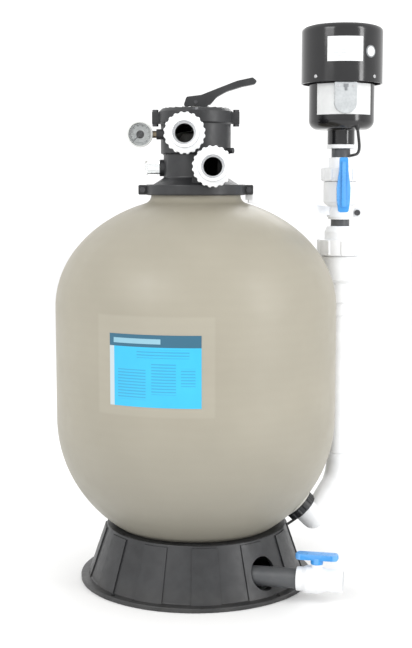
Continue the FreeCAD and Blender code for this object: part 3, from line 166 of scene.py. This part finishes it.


# %% [markdown]
# ## The tank's gel coat
# The shell is fibreglass under a stone-coloured gel coat. It has the faint orange peel of a sprayed
# coat, a slow drift of tone from winding, painted shade that darkens the belly near the skirt, and a
# slightly paler field round the label.

# %% Gel coat
def gel_coat():
    finish, tree, shader, shade = moulded(
        "gel_coat", (0.322, 0.297, 0.236), (0.302, 0.279, 0.221), (0.42, 0.54), 0.004, 0.00010, 0.12)
    place = add(tree, "ShaderNodeTexCoord")
    parts = add(tree, "ShaderNodeSeparateXYZ")
    tree.links.new(place.outputs["Object"], parts.inputs["Vector"])
    label_low, label_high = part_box("tank_label")
    margin = 0.024
    field = 1.0
    soft = 0.0025
    for axis, low, high in (("X", label_low.x - margin, label_high.x + 1.1 * margin),
                            ("Z", label_low.z - 0.8 * margin, label_high.z + 1.5 * margin)):
        rise = spread(tree, parts.outputs[axis], 0.0, 1.0, low - soft, low + soft)
        fall = spread(tree, parts.outputs[axis], 1.0, 0.0, high - soft, high + soft)
        side = math_node(tree, "MULTIPLY", rise, fall)
        field = math_node(tree, "MULTIPLY", side, field)
    front = spread(tree, parts.outputs["Y"], 1.0, 0.0, -0.12, -0.10)
    field = math_node(tree, "MULTIPLY", field, front)
    faint = math_node(tree, "MULTIPLY", field, 0.22)
    rubbed = mixed(tree, faint, shade, (0.43, 0.40, 0.33))
    bands = add(tree, "ShaderNodeTexWave", wave_type="BANDS", bands_direction="Z")
    bands.inputs["Scale"].default_value = 14.0
    bands.inputs["Distortion"].default_value = 3.0
    tree.links.new(place.outputs["Object"], bands.inputs["Vector"])
    wound = mixed(tree, math_node(tree, "MULTIPLY", bands.outputs["Fac"], 0.05), rubbed, (0.25, 0.23, 0.18))
    # painted shade: the lower dome is darkened towards the skirt, as the light falls from above
    painted_belly_shade = spread(tree, parts.outputs["Z"], 0.55, 0.0, 0.12, 0.42)
    tree.links.new(mixed(tree, painted_belly_shade, wound, (0.186, 0.181, 0.158)), shader.inputs["Base Color"])
    shader.inputs["Coat Weight"].default_value = 0.15
    shader.inputs["Coat Roughness"].default_value = 0.35
    return finish


# %% [markdown]
# ## Black plastics
# The skirt, valve and clamp are satin black with a fine grain. The skirt's foot also carries a trace of
# pale dust from the slab. The blower's shells are the same black but polished, so they show streaks
# of light from top to bottom.

# %% Black plastics
def satin_black(name, dusty):
    finish, tree, shader, shade = moulded(
        name, (0.015, 0.0155, 0.017), (0.026, 0.027, 0.029), (0.36, 0.48), 0.0008, 0.00006, 0.03)
    if dusty:
        place = add(tree, "ShaderNodeTexCoord")
        parts = add(tree, "ShaderNodeSeparateXYZ")
        tree.links.new(place.outputs["Object"], parts.inputs["Vector"])
        low_down = spread(tree, parts.outputs["Z"], 0.16, 0.0, 0.002, 0.045)
        patchy = spread(tree, noise(tree, 0.05, 4.0), 0.2, 1.0, 0.35, 0.75)
        dust = math_node(tree, "MULTIPLY", low_down, patchy)
        tree.links.new(mixed(tree, dust, shade, (0.20, 0.19, 0.17)), shader.inputs["Base Color"])
    return finish


def polished_black():
    finish, tree, shader, shade = moulded(
        "polished_black", (0.006, 0.006, 0.007), (0.010, 0.010, 0.011), (0.12, 0.2), 0.003, 0.00003, 0.06)
    shader.inputs["Coat Weight"].default_value = 0.15
    shader.inputs["Coat Roughness"].default_value = 0.08
    return finish


# %% [markdown]
# ## White, blue and grey plastics
# Pipe fittings are white PVC, which is a little warm and goes slightly chalky outdoors. The levers are
# bright blue, with their sharp edges painted paler, as rubbed wear and as a painted edge highlight.

# %% White, blue and grey plastics
def white_pvc():
    return moulded("white_pvc", (0.84, 0.85, 0.86), (0.78, 0.79, 0.80), (0.28, 0.42), 0.0012, 0.00005,
                   0.035)[0]


def blue_plastic():
    finish, tree, shader, shade = moulded(
        "lever_blue", (0.050, 0.31, 0.72), (0.035, 0.25, 0.62), (0.24, 0.36), 0.0009, 0.00005, 0.03)
    edge = add(tree, "ShaderNodeNewGeometry")
    # paler sharp edges: rubbed wear together with a painted edge highlight
    edge_wear_and_highlight = spread(tree, edge.outputs["Pointiness"], 0.0, 0.5, 0.53, 0.60)
    tree.links.new(mixed(tree, edge_wear_and_highlight, shade, (0.20, 0.45, 0.86)), shader.inputs["Base Color"])
    return finish


def grey_pvc():
    return moulded("grey_pvc", (0.060, 0.063, 0.068), (0.085, 0.088, 0.092), (0.36, 0.5), 0.001,
                   0.00005, 0.03)[0]


# %% [markdown]
# ## Metals, rubber and clear parts
# Blower screws and springs are bright steel, and the valve's and clamp's fasteners are dark zinc. Rubber
# is dull and slightly dusty. Clear parts are polycarbonate, which is glass to the shader with a lower
# index.

# %% Metals, rubber and clear parts
def turned_steel(name, colour, rough):
    finish, tree, shader, shade = moulded(
        name, colour, tuple(c * 0.82 for c in colour), rough, 0.0005, 0.00003, 0.006)
    shader.inputs["Metallic"].default_value = 1.0
    return finish


def rubber():
    return moulded("rubber", (0.018, 0.018, 0.018), (0.035, 0.034, 0.033), (0.60, 0.78), 0.0012,
                   0.00008, 0.01)[0]


def clear_plastic():
    finish, tree, shader, shade = moulded(
        "clear_plastic", (0.97, 0.98, 0.98), (0.93, 0.95, 0.95), (0.01, 0.04), 0.004, 0.00002, 0.01)
    shader.inputs["Transmission Weight"].default_value = 1.0
    shader.inputs["IOR"].default_value = 1.45
    return finish


def milky_cover():
    finish, tree, shader, shade = moulded(
        "milky_cover", (0.50, 0.52, 0.53), (0.42, 0.44, 0.45), (0.22, 0.34), 0.002, 0.00006, 0.015)
    shader.inputs["Subsurface Weight"].default_value = 0.25
    shader.inputs["Subsurface Radius"].default_value = (0.004, 0.004, 0.004)
    return finish


# %% [markdown]
# ## The label's printing
# The label is vinyl film: cyan, with a dark band across its top, a pale strip down its left edge and
# faint blocks where small print would be. The blocks are plain bars and hold no lettering. The
# pattern follows the tank's curve, so it is drawn on the angle round the tank and on the height.

# %% Label film
LABEL_START_DEG, LABEL_END_DEG = -33.5, 2.5     # from the front, positive towards +X


def bar(tree, value, low, high):
    """One between low and high, with nothing outside."""
    above = math_node(tree, "GREATER_THAN", value, low)
    below = math_node(tree, "LESS_THAN", value, high)
    return math_node(tree, "MULTIPLY", above, below)


def label_film():
    finish, tree, shader, shade = moulded(
        "label_film", (0.012, 0.41, 0.69), (0.018, 0.44, 0.73), (0.3, 0.4), 0.003, 0.00003, 0.05)
    low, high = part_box("tank_label")
    place = add(tree, "ShaderNodeTexCoord")
    parts = add(tree, "ShaderNodeSeparateXYZ")
    tree.links.new(place.outputs["Object"], parts.inputs["Vector"])
    back = math_node(tree, "MULTIPLY", parts.outputs["Y"], -1.0)
    angle = math_node(tree, "ARCTAN2", parts.outputs["X"], back)
    start, end = math.radians(LABEL_START_DEG), math.radians(LABEL_END_DEG)
    across = spread(tree, angle, 0.0, 1.0, start, end)
    up = spread(tree, parts.outputs["Z"], 0.0, 1.0, low.z, high.z)
    colour = shade
    dark_block, pale = (0.012, 0.23, 0.42), (0.50, 0.55, 0.56)
    line_wave = math_node(tree, "SINE", math_node(tree, "MULTIPLY", up, 150.0))
    lines = math_node(tree, "GREATER_THAN", line_wave, 0.15)
    blocks = ((0.10, 0.42, 0.10, 0.52), (0.48, 0.74, 0.18, 0.62), (0.79, 0.94, 0.30, 0.55),
              (0.32, 0.88, 0.68, 0.80))
    for left, right, bottom, top in blocks:
        inside = math_node(tree, "MULTIPLY", bar(tree, across, left, right), bar(tree, up, bottom, top))
        printed = math_node(tree, "MULTIPLY", inside, lines)
        colour = mixed(tree, math_node(tree, "MULTIPLY", printed, 0.6), colour, dark_block)
    colour = mixed(tree, math_node(tree, "MULTIPLY", bar(tree, across, -1.0, 0.055), 0.9), colour, pale)
    header = bar(tree, up, 0.83, 2.0)
    colour = mixed(tree, header, colour, (0.010, 0.10, 0.17))
    title = math_node(tree, "MULTIPLY", bar(tree, up, 0.875, 0.945), bar(tree, across, 0.05, 0.58))
    colour = mixed(tree, math_node(tree, "MULTIPLY", title, 0.75), colour, (0.30, 0.55, 0.66))
    tree.links.new(colour, shader.inputs["Base Color"])
    shader.inputs["Coat Weight"].default_value = 0.5
    shader.inputs["Coat Roughness"].default_value = 0.12
    return finish


# %% [markdown]
# ## Dress the CAD parts
# Each CAD node takes one finish. The table goes from a finish to its parts, in the words of someone
# who sorts them into bins.

# %% Dress the CAD parts
steel = turned_steel("stainless", (0.62, 0.62, 0.63), (0.22, 0.38))
bright_white = white_pvc()
inner_white = moulded("inner_white", (0.66, 0.66, 0.63), (0.58, 0.58, 0.55), (0.42, 0.58))[0]
black = satin_black("satin_black", False)
cord_black = moulded("cord_black", (0.013, 0.013, 0.014), (0.022, 0.022, 0.023), (0.38, 0.5), 0.0016,
                     0.00006, 0.02)[0]
bins = [
    (gel_coat(), ["tank_shell"]),
    (label_film(), ["tank_label"]),
    (satin_black("skirt_black", True), ["base_skirt"]),
    (black, ["neck_clamp", "valve_body", "valve_lid", "selector_handle", "bulkhead_nut"]),
    (polished_black(), ["blower_cap", "blower_housing"]),
    (bright_white, ["port_tailpieces", "port_union_nuts", "air_elbow", "riser_bend", "riser_pipe",
                    "check_valve_body", "air_valve_body", "riser_union_ends", "riser_union_nuts",
                    "support_arm",
                    "blower_collar", "drain_valve_body", "air_valve_ball", "drain_valve_ball"]),
    (blue_plastic(), ["air_valve_handle", "drain_handle"]),
    (grey_pvc(), ["drain_pipe", "pipe_nipples", "drain_fitting", "bulkhead_body", "standpipe"]),
    (turned_steel("dark_zinc", (0.10, 0.10, 0.105), (0.35, 0.5)),
     ["lid_screws", "clamp_and_strap_bolts", "handle_pin"]),
    (steel, ["blower_screws", "rotor_spring", "motor_shaft",
             "motor_bearings"]),
    (turned_steel("needle_steel", (0.10, 0.10, 0.11), (0.3, 0.45)), ["gauge_needle"]),
    (turned_steel("brass", (0.24, 0.20, 0.14), (0.3, 0.45)), ["gauge_stem"]),
    (turned_steel("cast_alloy", (0.36, 0.37, 0.38), (0.45, 0.6)), ["blower_motor"]),
    (clear_plastic(), ["sight_glass", "gauge_lens"]),
    (rubber(), ["spider_gasket", "check_flapper"]),
    (moulded("pale_gasket", (0.62, 0.61, 0.56), (0.5, 0.49, 0.45), (0.55, 0.7))[0],
     ["ball_seats", "seals"]),
    (milky_cover(), ["wiring_cover"]),
    (moulded("gauge_white", (0.70, 0.71, 0.69), (0.62, 0.63, 0.61), (0.25, 0.4))[0], ["gauge_case"]),
    (inner_white, ["diffuser", "lateral_hub", "laterals", "rotor", "thrust_washer", "blower_impeller",
                   "air_valve_stem"]),
    (cord_black, ["cord_plug", "cord_gland"]),
]
dressed = set()
for finish, names in bins:
    for name in names:
        nodes[name].data.materials.clear()
        nodes[name].data.materials.append(finish)
        dressed.add(name)
print("dressed", len(dressed), "left", sorted(set(nodes) - dressed))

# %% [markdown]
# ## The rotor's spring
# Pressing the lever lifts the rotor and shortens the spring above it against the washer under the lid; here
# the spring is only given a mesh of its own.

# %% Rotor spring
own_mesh(nodes["rotor_spring"])

# %% [markdown]
# ## The power cord
# The blower's lead leaves a gland at the bottom of its shell, drops behind the riser, comes down to the
# slab and is put away in a neat coil behind the tank. One spline is drawn through all of it, as one
# cord is in life: its route is a given list, and the coil's turns come from a loop.

# %% Power cord
CORD_RADIUS = 3.3
hanging = [
    (357, 62, 990), (360, 61, 968), (363, 72, 949), (362, 93, 938), (358, 120, 936), (346, 149, 934),
    (331, 178, 916), (327, 186, 870), (326, 183, 800), (328, 186, 735), (328, 180, 665),
    (327, 160, 595), (328, 152, 520), (327, 153, 445), (328, 153, 370), (328, 156, 300),
    (327, 163, 232), (318, 182, 175), (298, 207, 125), (266, 236, 80), (225, 268, 36),
    (183, 306, 4), (130, 334, 3.6), (78, 359, 3.6),
]
tail = [(60, 361, 10.0), (34, 365, 9.5), (8, 364, 12)]
COIL_CENTRE = (60.0, 325.0)
COIL_START, COIL_TURN = 62.0, 30.0
COIL_STEPS = 24
TURN_DROP = 7.0


def coil_points():
    """Two turns: the first winds in on the floor, and the second lies over it and works out again."""
    points = []
    for step in range(1, COIL_STEPS + 1):
        wound = step * COIL_TURN
        angle = math.radians(COIL_START + wound)
        if wound <= 360:
            radius, height = 39.5 - TURN_DROP * wound / 360, 3.6
        else:
            second = wound / 360 - 1
            radius = 32.5 + 3.5 * second
            climb = min(1.0, second / 0.45)
            height = 3.6 + 6.9 * (1 - (1 - climb) ** 2)
        points.append((COIL_CENTRE[0] + radius * math.cos(angle),
                       COIL_CENTRE[1] + radius * math.sin(angle), height))
    return points


route = hanging + coil_points() + tail
curve_data = bpy.data.curves.new("power_cord", "CURVE")
curve_data.dimensions = "3D"
curve_data.bevel_depth = CORD_RADIUS * MM
curve_data.bevel_resolution = 5
curve_data.resolution_u = 8
curve_data.use_fill_caps = True
spline = curve_data.splines.new("NURBS")
spline.points.add(len(route) - 1)
for point, place in zip(spline.points, route):
    point.co = (place[0] * MM, place[1] * MM, place[2] * MM, 1.0)
spline.order_u = 3
spline.use_endpoint_u = True
power_cord = bpy.data.objects.new("power_cord", curve_data)
bpy.context.scene.collection.objects.link(power_cord)
power_cord.data.materials.append(cord_black)
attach(power_cord, "tank")
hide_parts("cord_tube", "cord_coil")

# %% [markdown]
# ## Tools for the trim
# The trim is thin: plates bent round a shell, discs and raised ribs. Each starts from a
# `create_` shape or a short edge and is spun, extruded or bevelled, and then becomes one object that
# sits at the origin with its place in its mesh.

# %% Tools for the trim
def finished(shape, name, body, finish, smooth=True):
    """Make the bmesh an object that rides on a body."""
    bmesh.ops.remove_doubles(shape, verts=shape.verts, dist=1e-6)
    bmesh.ops.recalc_face_normals(shape, faces=shape.faces)
    mesh = bpy.data.meshes.new(name)
    shape.to_mesh(mesh)
    shape.free()
    if smooth:
        mesh.shade_smooth()
        mesh.set_sharp_from_angle(angle=math.radians(35))
    piece = bpy.data.objects.new(name, mesh)
    bpy.context.scene.collection.objects.link(piece)
    piece.data.materials.append(finish)
    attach(piece, body)
    return piece


def rounded(shape, width, segments=3, angle=0.6):
    """Bevel the sharp edges."""
    edges = [e for e in shape.edges if len(e.link_faces) == 2 and e.calc_face_angle(0) > angle]
    bmesh.ops.bevel(shape, geom=edges, offset=width, affect="EDGES", segments=segments, profile=0.5,
                    material=-1)


def block(shape, size, centre, turn=0.0):
    """A box of a size about a centre, turned about Z."""
    place = Matrix.Translation(centre) @ Matrix.Rotation(turn, 4, "Z") @ Matrix.Diagonal((*size, 1.0))
    return bmesh.ops.create_cube(shape, size=1.0, matrix=place)["verts"]


def wrapped_plate(axis, radius, thickness, start_deg, end_deg, low, high):
    """A plate bent round a vertical axis, between two angles from the front towards +X."""
    shape = bmesh.new()
    start = math.radians(start_deg)
    at = Vector((axis.x + radius * math.sin(start), axis.y - radius * math.cos(start), 0))
    corners = [shape.verts.new(at + Vector((0, 0, z))) for z in (low, high)]
    edge = shape.edges.new(corners)
    bmesh.ops.spin(shape, geom=[*corners, edge], axis=(0, 0, 1), cent=axis, dvec=(0, 0, 0),
                   angle=math.radians(end_deg - start_deg), steps=48, use_duplicate=False)
    walls = list(shape.faces)
    grown = bmesh.ops.extrude_face_region(shape, geom=walls)
    outer = [v for v in grown["geom"] if isinstance(v, bmesh.types.BMVert)]
    for vert in outer:
        away = Vector((vert.co.x - axis.x, vert.co.y - axis.y, 0)).normalized()
        vert.co += away * thickness
    return shape


riser_low, riser_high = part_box("riser_pipe")
riser_axis = (riser_low + riser_high) / 2
riser_axis.z = 0
cap_low, cap_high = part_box("blower_cap")
cap_radius = (cap_high.x - cap_low.x) / 2
body_radius = 73.0 * MM
print("riser axis", [round(c, 4) for c in riser_axis])

# %% [markdown]
# ## Blower trim
# A white plate wraps the front of the blower's lower shell behind the wiring cover. The cap carries a
# blank label and a round grey badge, and the cover is held by a clip and two small screws.

# %% Blower trim
plate_white = moulded("plate_white", (0.74, 0.75, 0.75), (0.66, 0.67, 0.67), (0.30, 0.42), 0.002,
                      0.00003, 0.02)[0]
PLATE_HALF_DEG = 53
plate = wrapped_plate(riser_axis, body_radius + 0.05 * MM, 0.75 * MM, -PLATE_HALF_DEG, PLATE_HALF_DEG,
                      1.023, 1.0905)
finished(plate, "wiring_plate", "tank", plate_white)


def paper():
    """White label stock with faint rules in place of print."""
    finish, tree, shader, shade = moulded(
        "label_paper", (0.78, 0.79, 0.79), (0.72, 0.73, 0.73), (0.35, 0.5), 0.002, 0.00002, 0.02)
    place = add(tree, "ShaderNodeTexCoord")
    parts = add(tree, "ShaderNodeSeparateXYZ")
    tree.links.new(place.outputs["Object"], parts.inputs["Vector"])
    ripple = math_node(tree, "SINE", math_node(tree, "MULTIPLY", parts.outputs["Z"], 2 * math.pi / 0.006))
    rules = math_node(tree, "GREATER_THAN", ripple, 0.55)
    inset = math_node(tree, "MULTIPLY", bar(tree, parts.outputs["Z"], 1.142, 1.180),
                      bar(tree, parts.outputs["X"], 0.298, 0.352))
    gaps = spread(tree, noise(tree, 0.008), 0.0, 1.0, 0.46, 0.50)
    marks = math_node(tree, "MULTIPLY", math_node(tree, "MULTIPLY", rules, inset), gaps)
    tree.links.new(mixed(tree, math_node(tree, "MULTIPLY", marks, 0.5), shade, (0.35, 0.37, 0.39)),
                   shader.inputs["Base Color"])
    return finish


label = wrapped_plate(riser_axis, cap_radius + 0.03 * MM, 0.25 * MM, -26.9, 23.4, 1.136, 1.189)
finished(label, "blower_label", "tank", paper())


def outward_frame(axis, radius, angle_deg, height):
    """A place on a shell: local +Z points out of it."""
    turn = math.radians(angle_deg)
    out = Vector((math.sin(turn), -math.cos(turn), 0))
    place = Vector((axis.x, axis.y, height)) + out * radius
    return Matrix.Translation(place) @ out.to_track_quat("Z", "Y").to_matrix().to_4x4()


def disc(shape, radius, thickness, place, sides=48):
    made = bmesh.ops.create_cone(shape, cap_ends=True, segments=sides, radius1=radius, radius2=radius,
                                 depth=thickness, matrix=place @ Matrix.Translation((0, 0, thickness / 2)))
    return made["verts"]


badge_grey = moulded("badge_grey", (0.23, 0.24, 0.25), (0.18, 0.19, 0.20), (0.28, 0.4), 0.0012, 0.00004,
                     0.01)[0]
badge = bmesh.new()
badge_place = outward_frame(riser_axis, cap_radius - 1.2 * MM, 36.6, 1.158)
disc(badge, 13.5 * MM, 2.6 * MM, badge_place)
rounded(badge, 0.9 * MM)
finished(badge, "cap_badge", "tank", badge_grey)

badge_face = bmesh.new()
for step in range(2):
    disc(badge_face, (10.6 - 2.4 * step) * MM, (3.1 - 0.3 * step) * MM, badge_place)
rounded(badge_face, 0.4 * MM, 2)
finished(badge_face, "cap_badge_face", "tank", plate_white)

cover_low, cover_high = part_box("wiring_cover")
cover_middle = (cover_low + cover_high) / 2
clip = bmesh.new()
block(clip, (11 * MM, 6.5 * MM, 7 * MM), (cover_middle.x, cover_low.y + 2.4 * MM, cover_high.z - 8 * MM))
block(clip, (6 * MM, 3 * MM, 12 * MM), (cover_middle.x, cover_low.y + 0.4 * MM, cover_high.z - 13 * MM))
rounded(clip, 0.7 * MM)
finished(clip, "cover_clip", "tank", badge_grey)

cover_screws = bmesh.new()
for side in (-1, 1):
    place = Matrix.Translation((cover_middle.x + side * 17 * MM, cover_low.y + 1.5 * MM,
                                cover_high.z - 9 * MM))
    disc(cover_screws, 3.0 * MM, 2.7 * MM, place @ Matrix.Rotation(math.pi / 2, 4, "X"), 24)
rounded(cover_screws, 0.6 * MM, 2)
finished(cover_screws, "cover_screws", "tank", steel)

# %% [markdown]
# ## Gauge dial
# The dial is a printed disc behind the needle: a white field, short ticks round three quarters of a
# turn and a dark boss in the middle. The ticks are solid bars, so they stay sharp in a close view.

# %% Gauge dial
gauge_low, gauge_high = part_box("gauge_case")
gauge_axis = (gauge_low + gauge_high) / 2
gauge_back = gauge_high.y
facing = Matrix.Rotation(math.pi / 2, 4, "X")
dial_place = Matrix.Translation((gauge_axis.x, gauge_back - 6.1 * MM, gauge_axis.z)) @ facing
dial = bmesh.new()
disc(dial, 24.3 * MM, 0.6 * MM, dial_place, 72)
finished(dial, "gauge_dial", "tank", plate_white)

ticks = bmesh.new()
TICK_COUNT = 28
SWEEP = math.radians(270)
for i in range(TICK_COUNT):
    turn = -SWEEP / 2 + SWEEP * i / (TICK_COUNT - 1)
    long_tick = i % 3 == 0
    length = (4.2 if long_tick else 2.4) * MM
    width = (0.8 if long_tick else 0.4) * MM
    reach = 21.5 * MM - length / 2
    place = (Matrix.Translation((gauge_axis.x, gauge_back - 6.85 * MM, gauge_axis.z))
             @ Matrix.Rotation(turn, 4, "Y") @ Matrix.Translation((0, 0, reach))
             @ Matrix.Diagonal((width, 0.15 * MM, length, 1.0)))
    bmesh.ops.create_cube(ticks, size=1.0, matrix=place)
finished(ticks, "gauge_ticks", "tank", cord_black, smooth=False)

boss = bmesh.new()
disc(boss, 8.5 * MM, 0.35 * MM, Matrix.Translation((gauge_axis.x, gauge_back - 6.75 * MM,
                                                    gauge_axis.z)) @ facing)
finished(boss, "gauge_dark_field", "tank", cord_black)

# %% [markdown]
# ## Ribs on the valve's lid
# A multiport lid is stiffened by radial ribs and carries a raised ring where the handle's positions
# are shown. The ring is left plain, with one short mark for each of the six positions.

# %% Ribs on the lid
lid_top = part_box("valve_lid")[1].z
lid_ribs = bmesh.new()
for i in range(24):
    turn = 2 * math.pi * (i + 0.5) / 24
    reach = 64.0 * MM
    centre = (reach * math.cos(turn), reach * math.sin(turn), lid_top + 0.1 * MM)
    block(lid_ribs, (14 * MM, 2.2 * MM, 2.2 * MM), centre, turn)
rounded(lid_ribs, 0.4 * MM, 2)
finished(lid_ribs, "lid_ribs", "tank", black)

marks = bmesh.new()
for i in range(6):
    turn = 2 * math.pi * i / 6
    reach = 50.0 * MM
    centre = (reach * math.cos(turn), reach * math.sin(turn), lid_top + 0.2 * MM)
    block(marks, (6 * MM, 3 * MM, 0.8 * MM), centre, turn)
rounded(marks, 0.2 * MM, 2)
finished(marks, "position_marks", "tank", plate_white)

# %% [markdown]
# ## Floor and light
# A wide pale slab, a white sky, and three soft lamps: a broad one high on the left, a tall strip on the
# right for the streaks on the black shells, and a weak one behind to part the black from the ground.

# %% Floor and light
slab = bmesh.new()
bmesh.ops.create_circle(slab, cap_ends=True, segments=64, radius=14.0)
floor_mesh = bpy.data.meshes.new("floor")
slab.to_mesh(floor_mesh)
slab.free()
floor = bpy.data.objects.new("floor", floor_mesh)
bpy.context.scene.collection.objects.link(floor)
floor.location.z = -0.0002
floor.data.materials.append(moulded("pale_floor", (0.90, 0.90, 0.90), (0.89, 0.89, 0.89), (0.7, 0.8),
                                    0.01, 0.0001, 0.5)[0])

sky = bpy.data.worlds.new("sky")
sky.use_nodes = True
sky.node_tree.nodes["Background"].inputs["Color"].default_value = (1.0, 1.0, 1.0, 1.0)
sky.node_tree.nodes["Background"].inputs["Strength"].default_value = 1.12
bpy.context.scene.world = sky


def lamp(name, place, aim, width, height, power):
    data = bpy.data.lights.new(name, "AREA")
    data.shape = "RECTANGLE"
    data.size, data.size_y = width, height
    data.energy = power
    light = bpy.data.objects.new(name, data)
    light.location = place
    light.rotation_euler = (Vector(aim) - Vector(place)).to_track_quat("-Z", "Y").to_euler()
    bpy.context.scene.collection.objects.link(light)


middle = (0.05, 0.0, 0.6)
lamp("broad_left", (-1.9, -2.3, 2.3), middle, 1.6, 1.6, 38)
lamp("strip_right", (2.2, -1.5, 1.4), middle, 0.5, 2.2, 28)
lamp("behind", (0.6, 2.6, 2.4), middle, 1.8, 1.2, 20)
